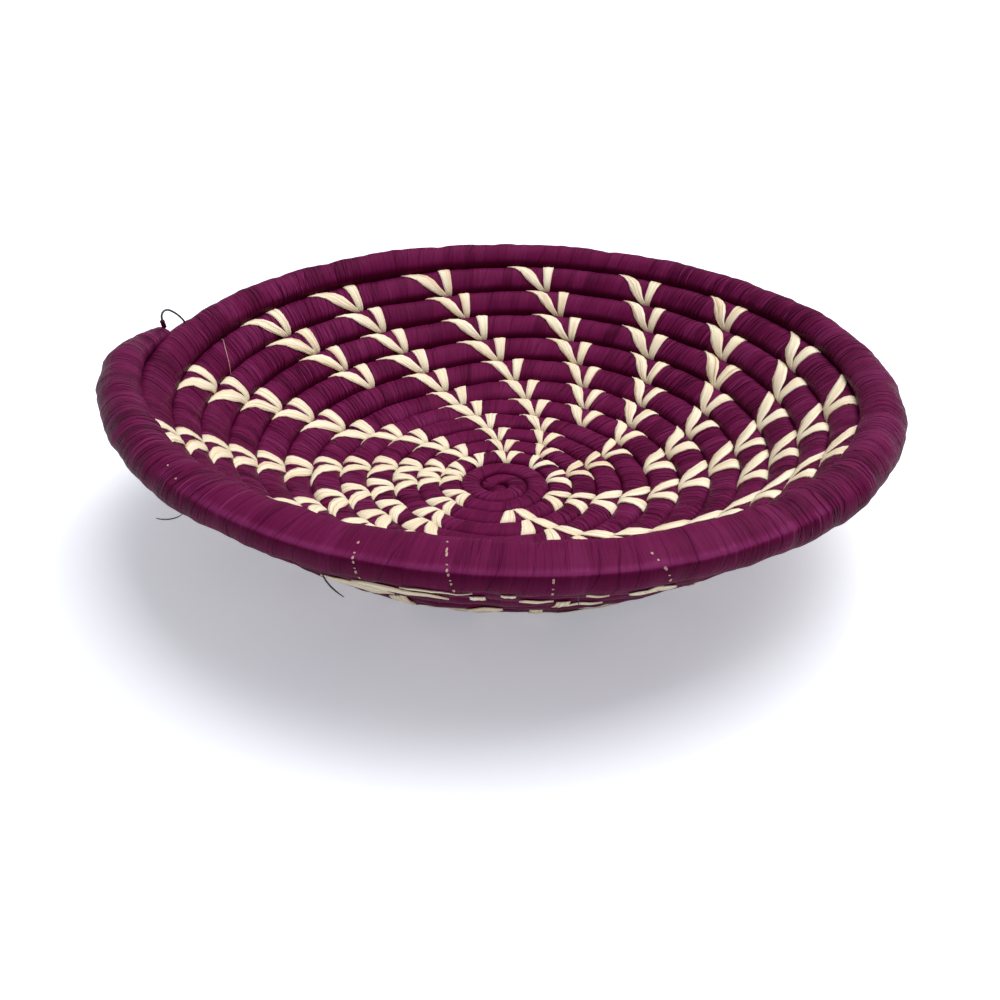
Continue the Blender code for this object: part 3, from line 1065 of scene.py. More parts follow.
@dataclass
class Tube:
    """A closed tube that is modelled straight and then laid along the winding."""

    sides: int
    spacing: float
    merge: float = 0.01 * MM

    def straight(self, length: float) -> Object:
        """Models the tube along X with radius 1.

        Args:
            length: The tube's length.

        Returns:
            The tube, open at both ends.
        """
        bpy.ops.object.select_all(action="DESELECT")
        bpy.ops.mesh.primitive_circle_add(vertices=self.sides, radius=1.0, rotation=(0.0, QUARTER, 0.0))
        tube = bpy.context.object
        bpy.ops.object.transform_apply(location=True, rotation=True, scale=True)
        step = {"value": (self.spacing, 0.0, 0.0)}
        edit(tube, lambda: bpy.ops.mesh.extrude_region_move(TRANSFORM_OT_translate=step))
        repeat = tube.modifiers.new("along the coil", "ARRAY")
        repeat.use_relative_offset = False
        repeat.use_constant_offset = True
        repeat.constant_offset_displace = (self.spacing, 0.0, 0.0)
        repeat.count = int(length / self.spacing)
        repeat.use_merge_vertices = True
        repeat.merge_threshold = self.merge
        apply_modifiers(tube)
        return tube

    def rows(self, points: ndarray) -> ndarray:
        """The number of each point's row round the tube, from the inner groove."""
        angles = np.arctan2(points[:, 1], points[:, 2])
        return np.round((angles + QUARTER) / FULL * self.sides).astype(int) % self.sides

    def write_laid_uv(self, mesh: Mesh, lengths: ndarray, rows: ndarray) -> None:
        """Writes each corner's length along the coil and share round it, with the seam in the inner groove.

        Args:
            mesh: The tube's mesh.
            lengths: Each point's length along the coil.
            rows: Each point's row round the tube.
        """
        corners = corners_of(mesh)
        around = rows[corners].reshape(-1, 4)
        wraps = (around.max(axis=1) - around.min(axis=1)) > self.sides / 2
        around = np.where(wraps[:, None] & (around == 0), self.sides, around)
        write_uv(mesh, np.stack([lengths[corners], around.ravel() / self.sides], axis=-1))

    @staticmethod
    def close_ends() -> None:
        """Closes both ends of the tube and turns its faces outwards."""
        bpy.ops.mesh.select_all(action="DESELECT")
        bpy.ops.mesh.select_non_manifold()
        bpy.ops.mesh.edge_face_add()
        bpy.ops.mesh.select_all(action="SELECT")
        bpy.ops.mesh.normals_make_consistent(inside=False)

    def lay(self, start: float, end: float, place: Callable[[ndarray, ndarray], ndarray]) -> Object:
        """Models the tube and lays it.

        Args:
            start: Where it starts, as a length along the coil.
            end: Where it ends.
            place: Gives the places for lengths along the coil and angles round it.

        Returns:
            The laid tube.
        """
        tube = self.straight(end - start)
        mesh = tube.data
        points = points_of(mesh)
        rows = self.rows(points)
        lengths = points[:, 0] + start
        self.write_laid_uv(mesh, lengths, rows)
        move_points(mesh, place(lengths, rows / self.sides * FULL - QUARTER))
        edit(tube, self.close_ends)
        shade_smooth(tube)
        return tube


@dataclass
class WrappedCoil:
    """The wound coil, one unbroken tube from its tail to the hub."""

    winding: Winding
    sides: int = 20
    spacing: float = 1.3 * MM

    def place(self, lengths: ndarray, angles: ndarray) -> ndarray:
        """Places on the coil's surface."""
        return self.winding.lay(lengths, angles, np.zeros(len(lengths)))

    def build(self, material: Material) -> None:
        """Winds the tube into the bowl.

        Args:
            material: The wound raffia.
        """
        end = self.winding.length_at(self.winding.last_turn())
        coil = Tube(self.sides, self.spacing).lay(0.0, end, self.place)
        finish_piece(coil, "wound_coil", material, Slot.PLUM, "raffia_wrap")


@dataclass
class StalkBundle:
    """The dry stalks inside the coil, which end short of the pinched tail."""

    winding: Winding
    sides: int = 8
    spacing: float = 6.0 * MM
    share: float = 0.52
    first_turn: float = 0.05

    def place(self, lengths: ndarray, angles: ndarray) -> ndarray:
        """Gives places on the bundle's surface.

        Args:
            lengths: Lengths along the coil.
            angles: Angles round its section.

        Returns:
            The places, one a row.
        """
        turns = self.winding.turn_at(lengths)
        uphill, inward = self.winding.axes(turns)
        reach = self.winding.girth(turns) * self.share
        spots = self.winding.centre(turns) + inward * (reach * np.cos(angles))[:, None]
        return spots + uphill * (reach * np.sin(angles))[:, None]

    def build(self, material: Material) -> None:
        """Lays the bundle along the middle of the coil.

        Args:
            material: The dry stalks.
        """
        start = self.winding.length_at(self.first_turn)
        end = self.winding.length_at(self.winding.coil_turns())
        bundle = Tube(self.sides, self.spacing).lay(start, end, self.place)
        finish_piece(bundle, "stalk_bundle", material, Slot.STALK, "stalk_core")


@dataclass
class Ribbon:
    """A short flat ribbon of raffia, modelled once and laid many times."""

    winding: Winding
    steps: int = 9
    strips: int = 4
    camber: float = 0.30
    fold: float = 0.16
    model: Object | None = None

    @staticmethod
    def shape() -> None:
        """Moves the flat grid to its span: 0 to 1 along X and -1 to 1 across Y, at a height of 1."""
        bpy.ops.transform.resize(value=(0.5, 1.0, 1.0))
        bpy.ops.transform.translate(value=(0.5, 0.0, 1.0))

    def make_model(self) -> None:
        """Models the ribbon flat, with its underside at 0 and its crown at 1 in Z."""
        bpy.ops.object.select_all(action="DESELECT")
        bpy.ops.mesh.primitive_grid_add(x_subdivisions=self.steps, y_subdivisions=self.strips, size=2.0)
        self.model = bpy.context.object
        self.model.name = "ribbon_model"
        edit(self.model, self.shape)
        wall = self.model.modifiers.new("thickness", "SOLIDIFY")
        wall.thickness = 1.0
        wall.offset = -1.0
        apply_modifiers(self.model)
        shade_smooth(self.model)

    def lay(
        self, lengths: ndarray, around: ndarray, widths: ndarray, thickness: float, lift: float, grain: float
    ) -> Object:
        """Lays one copy of the ribbon on the coil along a path.

        Args:
            lengths: The path's lengths along the coil.
            around: Its distances round the coil's section from the crest.
            widths: The ribbon's width at each of these places.
            thickness: The ribbon's thickness.
            lift: Height of its underside over the coil.
            grain: Where its grain starts, so that no two ribbons are alike.

        Returns:
            The laid ribbon.
        """
        if self.model is None:
            self.make_model()
        piece = put("ribbon", self.model.data.copy())
        mesh = piece.data
        points = points_of(mesh)
        at, across = points[:, 0], points[:, 1]
        path = np.stack([lengths, around], axis=-1)
        shares = np.linspace(0.0, 1.0, len(path))
        heading = np.gradient(path, axis=0)
        heading /= np.linalg.norm(heading, axis=1)[:, None]
        middle = np.stack([np.interp(at, shares, path[:, axis]) for axis in (0, 1)], axis=-1)
        side = [-np.interp(at, shares, heading[:, 1]), np.interp(at, shares, heading[:, 0])]
        chart = middle + np.stack(side, axis=-1) * (across * np.interp(at, shares, widths) / 2)[:, None]
        angles = chart[:, 1] / self.winding.girth(self.winding.turn_at(chart[:, 0]))
        crown = 1 - self.camber * across ** 2 + self.fold * np.cos(across * FULL + grain)
        move_points(mesh, self.winding.lay(chart[:, 0], angles, lift + points[:, 2] * thickness * crown))
        corners = corners_of(mesh)
        reach = float(np.linalg.norm(np.diff(path, axis=0), axis=1).sum())
        write_uv(mesh, np.stack([grain + at[corners] * reach, across[corners] / 2 + 0.5], axis=-1))
        return piece

    def clear(self) -> None:
        """Removes the flat model once all its copies are laid."""
        bpy.data.objects.remove(self.model)
        self.model = None


@dataclass
class Knots:
    """The raffia wound over the coil's two ends: a dome at the tail and a button in the hub."""

    winding: Winding
    segments: int = 24
    rings: int = 20
    wraps: float = 2.5
    wrap_height: float = 0.07
    grain_length: float = 6.0 * MM
    dome: float = 3.4 * MM
    dome_height: float = 0.9
    heading_turns: float = 0.002
    button: float = 5.4 * MM
    button_height: float = 2.1 * MM
    button_place: tuple[float, float, float] = (-1.0 * MM, 1.4 * MM, 2.3 * MM)

    def ball(self) -> Object:
        """Models a ball of radius 1 with its poles on X and writes its wraps round that axis.

        Returns:
            The ball.
        """
        bpy.ops.object.select_all(action="DESELECT")
        bpy.ops.mesh.primitive_uv_sphere_add(segments=self.segments, ring_count=self.rings, radius=1.0)
        ball = bpy.context.object
        points = points_of(ball.data)
        height = points[:, 2]
        wound = np.cos(self.wraps * FULL * height + np.arctan2(points[:, 1], points[:, 0]))
        points[:, :2] *= (1 + self.wrap_height * wound * (1 - height ** 2))[:, None]
        corners = corners_of(ball.data)
        around = np.arctan2(points[corners, 1], points[corners, 0]) / FULL + 0.5
        write_uv(ball.data, np.stack([points[corners, 2] * self.grain_length, around], axis=-1))
        move_points(ball.data, np.stack([points[:, 2], points[:, 1], -points[:, 0]], axis=-1))
        return ball

    def lay_ball(self, place: ndarray, axes: Sequence[ndarray], reaches: Sequence[float]) -> Object:
        """Lays a stretched ball.

        Args:
            place: The ball's middle.
            axes: Three directions.
            reaches: How far the ball reaches in each of them.

        Returns:
            The ball.
        """
        ball = self.ball()
        points = points_of(ball.data)
        spots = place[None, :]
        for column, (axis, reach) in enumerate(zip(axes, reaches)):
            spots = spots + points[:, column:column + 1] * reach * axis[None, :]
        move_points(ball.data, spots)
        shade_smooth(ball)
        return ball

    def build(self, material: Material) -> None:
        """Builds both knots.

        Args:
            material: The wound raffia.
        """
        tail = np.array([0.0])
        uphill, inward = self.winding.axes(tail)
        middle, ahead = self.winding.centre(np.array([0.0, self.heading_turns]))
        heading = (ahead - middle) / np.linalg.norm(ahead - middle)
        reach = float(self.winding.girth(0.0))
        reaches = (self.dome, reach, reach * self.dome_height)
        dome = self.lay_ball(middle, (heading, uphill[0], inward[0]), reaches)
        finish_piece(dome, "tail_dome", material, Slot.PLUM, "tail_knot")
        flat = (np.array([0.0, 0.0, 1.0]), np.array([0.0, 1.0, 0.0]), np.array([-1.0, 0.0, 0.0]))
        reaches = (self.button_height, self.button, self.button)
        button = self.lay_ball(np.array(self.button_place), flat, reaches)
        finish_piece(button, "hub_button", material, Slot.PLUM, "start_knot")


@dataclass
class Thread:
    """Thin round threads: the hanging loop and stray fibres."""

    sides: int = 2
    steps: int = 6
    order: int = 4

    def lay(self, points: Sequence[ndarray], radius: float, tips: float = 1.0) -> Object:
        """Models a smooth thread through these points.

        Args:
            points: Places along the thread.
            radius: The thread's radius.
            tips: The share of the radius that is left at both ends.

        Returns:
            The thread as a mesh.
        """
        data = bpy.data.curves.new("thread", "CURVE")
        data.dimensions = "3D"
        data.bevel_depth = radius
        data.bevel_resolution = self.sides
        data.resolution_u = self.steps
        data.use_fill_caps = True
        line = data.splines.new("NURBS")
        line.points.add(len(points) - 1)
        for index, (knot, place) in enumerate(zip(line.points, points)):
            knot.co = (*place, 1.0)
            knot.radius = tips if index in (0, len(points) - 1) else 1.0
        line.use_endpoint_u = True
        line.order_u = self.order
        select_only(put("thread", data))
        bpy.ops.object.convert(target="MESH")
        thread = bpy.context.view_layer.objects.active
        bpy.ops.object.shade_smooth()
        return thread


@dataclass
class HangingLoop:
    """The stiff loop of grey cord beside the tail, wound with raffia at its foot.

    Its ends are given as turns and as degrees round the section. Each bend is given by how high it stands, as
    a share of the loop's height, and how far over it leans, as a share of the way from the left end to the
    right.
    """

    winding: Winding
    thread: Thread
    radius: float = 0.36 * MM
    height: float = 4.4 * MM
    turns: Pair = (-0.002, 0.984)
    angles: Pair = (30.0, 70.0)
    sink: float = 0.6 * MM
    left_bends: tuple[Pair, ...] = ((0.55, -0.06), (1.08, -0.08), (1.42, 0.14), (1.28, 0.46))
    right_bend: Pair = (0.40, -0.06)
    foot_radius: float = 1.0 * MM
    foot_tips: float = 0.8

    def build(self, cord: Material, plum: Material) -> None:
        """Bends the loop from the tail over to the turn beside it.

        Args:
            cord: The loop's own finish.
            plum: The raffia round its foot.
        """
        lengths = self.winding.length_at(np.array(self.turns))
        left, right = self.winding.lay(lengths, np.radians(self.angles), np.full(2, -self.sink))
        up, across = np.array([0.0, 0.0, 1.0]), right - left
        bends = [(left, *bend) for bend in self.left_bends] + [(right, *self.right_bend)]
        middle = [end + up * (rise * self.height) + across * lean for end, rise, lean in bends]
        path = [left, *middle, right]
        finish_piece(self.thread.lay(path, self.radius), "loop_cord", cord, Slot.CORD, "hanging_loop")
        foot = self.thread.lay(path[:2], self.foot_radius, self.foot_tips)
        write_even_uv(foot.data)
        finish_piece(foot, "loop_foot", plum, Slot.PLUM)


@dataclass(frozen=True)
class Run:
    """A run on the coil between two places, each a turn and an angle in degrees round the section."""

    start: float
    start_angle: float
    end: float
    end_angle: float

    def place(self, share: ndarray | float) -> tuple[ndarray | float, ndarray | float]:
        """The turn and the angle at this share of the way."""
        angle = self.start_angle + (self.end_angle - self.start_angle) * share
        return self.start + (self.end - self.start) * share, angle


@dataclass(frozen=True)
class Strip(Run):
    """A strip of raffia laid along a run, pointed or blunt at its ends."""

    width: float
    blunt: float = 0.10
    lift: float = 0.25 * MM
    fullness: float = 0.8
    grain: float = 5.3

    def lay(self, ribbon: Ribbon, thickness: float, steps: int) -> Object:
        """Lays the strip.

        Args:
            ribbon: The ribbon that is copied.
            thickness: The strip's thickness.
            steps: How many places its path has.

        Returns:
            The laid strip.
        """
        along = np.linspace(0.0, 1.0, steps)
        turns, angles = self.place(along)
        lengths = ribbon.winding.length_at(turns)
        around = ribbon.winding.girth(turns) * np.radians(angles)
        widths = self.width * (self.blunt + (1 - self.blunt) * np.sin(along * FULL / 2) ** self.fullness)
        grain = self.start * self.grain + self.start_angle
        return ribbon.lay(lengths, around, widths, thickness, self.lift, grain)


@dataclass(frozen=True)
class OutsideFront:
    """What shows of the strands outside below the front rim: long floats and short square crossings."""

    floats: tuple[Strip, ...] = (
        Strip(2.2030, 170.0, 2.2350, 160.0, 3.6 * MM),
        Strip(1.2230, 166.0, 1.2570, 184.0, 3.6 * MM),
        Strip(0.2440, 158.0, 0.2660, 180.0, 2.6 * MM),
        Strip(3.2610, 178.0, 3.2760, 162.0, 4.2 * MM, 0.35),
        Strip(1.2810, 178.0, 1.2930, 184.0, 2.0 * MM),
        Strip(2.2990, 180.0, 2.3140, 178.0, 1.5 * MM),
        Strip(0.3010, 184.0, 0.3080, 182.0, 1.6 * MM, 0.4),
        Strip(1.3190, 176.0, 1.3300, 180.0, 2.8 * MM),
        Strip(1.3240, 172.0, 1.3310, 158.0, 1.6 * MM),
        Strip(1.3290, 172.0, 1.3360, 168.0, 2.2 * MM, 0.3),
    )
    squares: tuple[Strip, ...] = (
        Strip(3.2320, 140.0, 3.2345, 196.0, 4.4 * MM, 1.0),
        Strip(1.2670, 160.0, 1.2670, 205.0, 3.6 * MM, 1.0),
        Strip(0.2770, 178.0, 0.2770, 206.0, 3.4 * MM, 1.0),
        Strip(2.2980, 145.0, 2.2975, 200.0, 3.4 * MM, 1.0),
    )
    turns: Pair = (0.185, 0.345)
    rows: float = 4.0
    thickness: float = 0.36 * MM
    steps: int = 16

    def holds(self, turn: float) -> bool:
        """Whether this place is in the rows whose outside is laid here."""
        return turn < self.rows and self.turns[0] < turn % 1 < self.turns[1]

    def build(self, ribbon: Ribbon, material: Material) -> None:
        """Lays all the strips as one piece of this raffia."""
        laid = [strip.lay(ribbon, self.thickness, self.steps) for strip in self.floats + self.squares]
        finish_piece(join(laid), "outside_floats", material, Slot.CREAM)


@dataclass(frozen=True)
class Nicks:
    """Lines of small nicks across the rim, where the cream strand shows between two wraps.

    The swings are how far a nick's place and length stray from even, and the paces are how quickly they
    change from nick to nick and from line to line.
    """

    lines: tuple[Run, ...] = (
        Run(0.2296, 54.0, 0.2315, 150.0),
        Run(0.2570, 22.0, 0.2610, 150.0),
        Run(0.2900, 98.0, 0.2900, 148.0),
        Run(0.3215, 56.0, 0.3262, 136.0),
        Run(0.145, 57.0, 0.160, 78.0),
    )
    size: float = 1.05 * MM
    apart: float = 1.7 * MM
    place_swing: float = 0.25
    place_paces: Pair = (2.4, 50)
    least_length: float = 0.75
    length_swing: float = 0.45
    length_paces: Pair = (1.9, 70)
    width: float = 0.55
    blunt: float = 0.6
    thickness: float = 0.14 * MM
    steps: int = 6

    def lay_line(self, line: Run, ribbon: Ribbon) -> list[Object]:
        """Lays one line of nicks.

        Args:
            line: Where it runs.
            ribbon: The ribbon that is copied.

        Returns:
            The nicks.
        """
        girth = float(ribbon.winding.girth(line.start))
        reach = math.radians(line.end_angle - line.start_angle) * girth
        nicks = []
        for index in range(int(reach / self.apart) + 1):
            swing = math.sin(index * self.place_paces[0] + line.start * self.place_paces[1])
            turn, angle = line.place((index + self.place_swing * swing) * self.apart / reach)
            swing = math.sin(index * self.length_paces[0] + line.start * self.length_paces[1])
            wide = math.degrees(self.size * (self.least_length + self.length_swing * swing) / girth)
            nick = Strip(turn, angle, turn, angle + wide, self.width * self.size, self.blunt, 0.0)
            nicks.append(nick.lay(ribbon, self.thickness, self.steps))
        return nicks

    def build(self, ribbon: Ribbon, material: Material) -> None:
        """Lays all the nicks as one piece of this raffia."""
        laid = [nick for line in self.lines for nick in self.lay_line(line, ribbon)]
        finish_piece(join(laid), "rim_nicks", material, Slot.CREAM)


@dataclass(frozen=True)
class Fibre:
    """A stray fibre, by its places: turn, degrees round the section and millimetres over the coil."""

    places: tuple[tuple[float, float, float], ...]
    radius: float
    tips: float = 0.5

    def lay(self, winding: Winding, thread: Thread) -> Object:
        """Lays the fibre.

        Args:
            winding: The coil's winding.
            thread: What draws it.

        Returns:
            The fibre.
        """
        turns, angles, lifts = (np.array(column) for column in zip(*self.places))
        points = winding.lay(winding.length_at(turns), np.radians(angles), lifts * MM)
        return thread.lay(list(points), self.radius, self.tips)


@dataclass(frozen=True)
class StrayFibres:
    """The stray ends of the winding that stand off the bowl."""

    dark: tuple[Fibre, ...] = (
        Fibre(((0.2170, 182, 0.0), (0.2180, 186, 2.0), (0.2215, 190, 4.0), (0.2260, 186, 5.0)), 0.26 * MM),
        Fibre(((0.2990, 200, 0.0), (0.2990, 200, 2.4)), 0.24 * MM),
        Fibre(((0.1580, 176, 0.0), (0.1560, 180, 2.5), (0.1500, 182, 4.5), (0.1470, 180, 5.0)), 0.22 * MM),
    )
    pale: tuple[Fibre, ...] = (
        Fibre((
            (1.9735, 50, 0.2),
            (1.9728, 42, 0.8),
            (1.9790, 22, 1.2),
            (1.9875, -22, 1.2),
            (1.9890, -56, 0.8),
        ), 0.11 * MM),
    )

    def build(self, winding: Winding, cord: Material, cream: Material) -> None:
        """Lays the dark fibres as one piece and the pale ones as another.

        Args:
            winding: The coil's winding.
            cord: The dark fibres' finish.
            cream: The pale fibres' finish.
        """
        for fibres, name, material, slot in (
            (self.dark, "dark_fibres", cord, Slot.CORD),
            (self.pale, "pale_fibres", cream, Slot.CREAM),
        ):
            piece = join([fibre.lay(winding, Thread()) for fibre in fibres])
            write_even_uv(piece.data)
            finish_piece(piece, name, material, slot)


@dataclass(frozen=True)
class RayLine:
    """Where one ray runs: how far its stitches lie off even spacing, and how many they are.

    The shifts are in degrees along the winding, at the ray's first stitch, at its sixth and at its eleventh.
    """

    first: float = 0.0
    sixth: float = 0.0
    eleventh: float = 0.0
    count: int | None = None
    width: float = 1.0
    named_apart: int = 5

    def shift(self, stitch: int) -> float:
        """The shift of one stitch, on the curve through the three that are named.

        Args:
            stitch: The stitch's number from the rim.

        Returns:
            The shift in turns.
        """
        share = stitch / self.named_apart
        bend = (self.first - 2 * self.sixth + self.eleventh) / 2
        rise = self.sixth - self.first - bend
        return (self.first + rise * share + bend * share * share) / 360


@dataclass(frozen=True)
class Pace:
    """Gives each stitch a value of its own from its ray's number and its turn."""

    ray: float
    turn: float

    def at(self, ray: int, turn: float) -> float:
        """The value of one stitch."""
        return ray * self.ray + turn * self.turn

    def swing(self, ray: int, turn: float) -> float:
        """A chance value between -1 and 1 for one stitch."""
        return math.sin(self.at(ray, turn))


@dataclass(frozen=True)
class Arm:
    """One arm of a V, which widens from its foot in the inner groove and may narrow again to its tip."""

    foot: float
    lean: float
    lift: float
    swell: float
    swell_end: float
    swell_power: float
    fade: float = 0.0
    fade_start: float = 0.58
    fade_span: float = 0.42
    fade_power: float = 1.2
    point: float = 0.20

    def shape(self, along: ndarray) -> ndarray:
        """The arm's width along its way, as a share of the full band."""
        wide = self.point + self.swell * np.clip(along / self.swell_end, 0, 1) ** self.swell_power
        return wide - self.fade * np.clip((along - self.fade_start) / self.fade_span, 0, 1) ** self.fade_power


@dataclass(frozen=True)
class DriftArm(Arm):
    """The arm that slants along the coil, the farther the nearer the rim."""

    reach: float = 20.0 * MM
    full_radius: float = 112 * MM
    power: float = 1.7
    uneven: float = 0.22

    def tip(self, radius: float, chance: float) -> float:
        """How far along the coil its tip lies, at this radius of the bowl."""
        inner = max(1 - radius / self.full_radius, 0.0)
        return self.reach * (1 - inner ** self.power) * (1 + self.uneven * chance)


@dataclass(frozen=True)
class SquareArm(Arm):
    """The arm that crosses the coil nearly square, and leans the other way towards the middle of the bowl."""

    turn: float = math.radians(0.55)
    full_radius: float = 107 * MM
    spread: float = 5.2 * MM
    power: float = 1.4
    uneven: float = 0.9 * MM

    def tip(self, radius: float, chance: float) -> float:
        """How far along the coil its tip lies, at this radius of the bowl."""
        inner = max(1 - radius / self.full_radius, 0.0)
        return radius * self.turn - self.spread * inner ** self.power + self.uneven * chance


@dataclass
class StitchRays:
    """The sixteen cream rays: V stitches inside the bowl, and what shows of their strands outside it.

    Angles round the coil's section are in degrees. A pair that ends in its swing holds a size and how far
    chance moves it.
    """

    ribbon: Ribbon
    outside: OutsideFront
    lines: tuple[RayLine, ...] = (
        RayLine(5.0, 3.2, 3.0),
        RayLine(5.0, 5.5, -2.0),
        RayLine(0.0, 2.0, -4.0, 9),
        RayLine(0.0, 0.0, -3.0),
        RayLine(0.0, 0.0, 0.0, 6),
        RayLine(0.0, 0.0, 0.0, 5),
        RayLine(-1.2, 3.0, -7.0),
        RayLine(-5.0, 0.0, 0.0, 4),
        RayLine(-6.0, -7.6, -4.0),
        RayLine(-5.4, -8.4, -12.5, 7, 0.95),
        RayLine(-6.2, -5.7, -10.5, None, 0.85),
        RayLine(-4.2, -5.6, -12.5, 7, 0.80),
        RayLine(-3.5, -4.4, -18.0, None, 0.84),
        RayLine(-4.2, -1.2, -3.5, None, 0.88),
        RayLine(-6.5, -5.5, -5.0, 4, 0.90),
        RayLine(0.5, -4.0, -9.0),
    )
    first_turn: float = 1.082
    drift: float = math.radians(4.4)
    plain_centre_turns: float = 1.36
    band: float = 4.7 * MM
    centre_band: float = 3.2 * MM
    thickness: float = 0.42 * MM
    path_steps: int = 24
    square_arm: SquareArm = SquareArm(-0.06, 1.0, 0.02 * MM, 0.94, 0.70, 0.7)
    drift_arm: DriftArm = DriftArm(0.06, 1.45, 0.10 * MM, 0.66, 0.50, 0.8, 0.52)
    arm_angle: float = 84.0
    arm_chance: Pace = Pace(12.9898, 78.233)
    arm_swing: float = 0.5
    arm_uneven: float = 0.10
    arm_grain: Pace = Pace(1.7, 0.37)
    foot_angles: Pair = (100.0, 60.0)
    foot_share: float = 0.44
    foot_point: float = 0.10
    foot_power: float = 1.6
    foot_slant: float = -0.8 * MM
    foot_lift: float = 0.10 * MM
    foot_grain: Pace = Pace(1.1, 0.53)
    outside_band: float = 3.3 * MM
    outside_height: float = 3.0 * MM
    crossing_angles: Pair = (180.0, 80.0)
    crossing_slant: float = 0.4 * MM
    crossing_thickness: float = 0.8
    crossing_lift: float = 0.03 * MM
    crossing_grain: Pace = Pace(2.3, 0.61)
    float_skip: int = 3
    float_chance: Pace = Pace(7.13, 41.7)
    float_start_swing: Pair = (200, 18)
    float_end_swing: Pair = (158, 14)
    float_first: float = 0.06
    float_last_swing: Pair = (0.62, 0.22)
    float_point: float = 0.12
    float_share: float = 0.62
    float_power: float = 0.9
    float_thickness: float = 0.7
    float_lift: float = 0.25 * MM
    float_grain: Pace = Pace(3.1, 0.83)

    def step(self) -> float:
        """Turns from one stitch of a ray to its next."""
        return 1 - self.drift / FULL

    def along(self) -> ndarray:
        """Shares of the way along a strand's path."""
        return np.linspace(0.0, 1.0, self.path_steps)

    def band_at(self, turn: float) -> float:
        """The full width of a stitch's band, from the thin coil in the middle to the full coil outside it.

        Args:
            turn: The stitch's turn.

        Returns:
            The width.
        """
        winding = self.ribbon.winding
        span = winding.full_coil_radius - winding.thin_coil_radius
        share = (winding.read("radius", turn) - winding.thin_coil_radius) / span
        return float(blend(self.centre_band, self.band, share))

    def stitch_turns(self, ray: int) -> list[float]:
        """Places one ray's stitches.

        Args:
            ray: The ray's number.

        Returns:
            The stitches' turns, from the rim in.
        """
        line, winding = self.lines[ray], self.ribbon.winding
        first = self.first_turn + ray * self.step() / len(self.lines)
        last = winding.coil_turns() + 1 / winding.steps - self.plain_centre_turns
        whole = int((last - first) / self.step()) + 1
        count = min(line.count or whole, whole)
        return [first + stitch * self.step() + line.shift(stitch) for stitch in range(count)]

    def lay_arm(self, ray: int, turn: float, arm: SquareArm | DriftArm) -> Object:
        """Lays one arm of a V, from its foot in the inner groove over the crest to the outer groove.

        Args:
            ray: The ray's number.
            turn: The stitch's turn.
            arm: Which of the two arms it is.

        Returns:
            The arm.
        """
        winding, along = self.ribbon.winding, self.along()
        chance = self.arm_chance.swing(ray, turn) * self.arm_swing
        tip = arm.tip(float(winding.read("radius", turn)), chance)
        full = self.band_at(turn) * (1 + self.arm_uneven * chance) * self.lines[ray].width
        foot = arm.foot * self.band
        lengths = float(winding.length_at(turn)) + foot + (tip - foot) * along ** arm.lean
        around = float(winding.girth(turn)) * math.radians(self.arm_angle) * (2 * along - 1)
        grain = self.arm_grain.at(ray, turn)
        return self.ribbon.lay(lengths, around, full * arm.shape(along), self.thickness, arm.lift, grain)

    def lay_foot(self, ray: int, turn: float) -> Object:
        """Lays the pointed foot of a V over the groove, to where the strand dives into the next turn in.

        Args:
            ray: The ray's number.
            turn: The stitch's turn.

        Returns:
            The foot.
        """
        winding, along = self.ribbon.winding, self.along()
        lengths = float(winding.length_at(turn + 1)) + self.foot_slant * along
        around = float(winding.girth(turn + 1)) * np.radians(blend(*self.foot_angles, along))
        full = self.band_at(turn) * self.lines[ray].width
        widths = full * (self.foot_share * (1 - along ** self.foot_power) + self.foot_point)
        grain = self.foot_grain.at(ray, turn)
        return self.ribbon.lay(lengths, around, widths, self.thickness, self.foot_lift, grain)

    def lay_crossing(self, ray: int, turn: float) -> Object:
        """Lays the short band that crosses the back of the coil behind one stitch.

        Args:
            ray: The ray's number.
            turn: The stitch's turn.

        Returns:
            The band.
        """
        winding, across = self.ribbon.winding, 2 * self.along() - 1
        girth = float(winding.girth(turn))
        middle, reach = (girth * math.radians(angle) for angle in self.crossing_angles)
        lengths = float(winding.length_at(turn)) + self.crossing_slant * across
        widths = np.full(self.path_steps, self.outside_band)
        thickness, grain = self.thickness * self.crossing_thickness, self.crossing_grain.at(ray, turn)
        return self.ribbon.lay(lengths, middle + reach * across, widths, thickness, self.crossing_lift, grain)

    def lay_float(self, ray: int, turn: float) -> Object:
        """Lays the long thin float that carries the strand along the outside to the next ray.

        Args:
            ray: The ray's number.
            turn: The stitch's turn.

        Returns:
            The float.
        """
        winding, along = self.ribbon.winding, self.along()
        chance = self.float_chance.swing(ray, turn)
        swings = (self.float_start_swing, self.float_end_swing, self.float_last_swing)
        low, high, last = (size + swing * chance for size, swing in swings)
        start, end = winding.length_at(np.array([turn, turn + self.step() / len(self.lines)]))
        lengths = start + (end - start) * (self.float_first + (last - self.float_first) * along)
        low, high = math.radians(low), math.radians(high)
        around = float(winding.girth(turn)) * (low + (high - low) * along)
        shape = self.float_point + self.float_share * np.sin(along * FULL / 2) ** self.float_power
        thickness, grain = self.thickness * self.float_thickness, self.float_grain.at(ray, turn)
        return self.ribbon.lay(lengths, around, self.outside_band * shape, thickness, self.float_lift, grain)

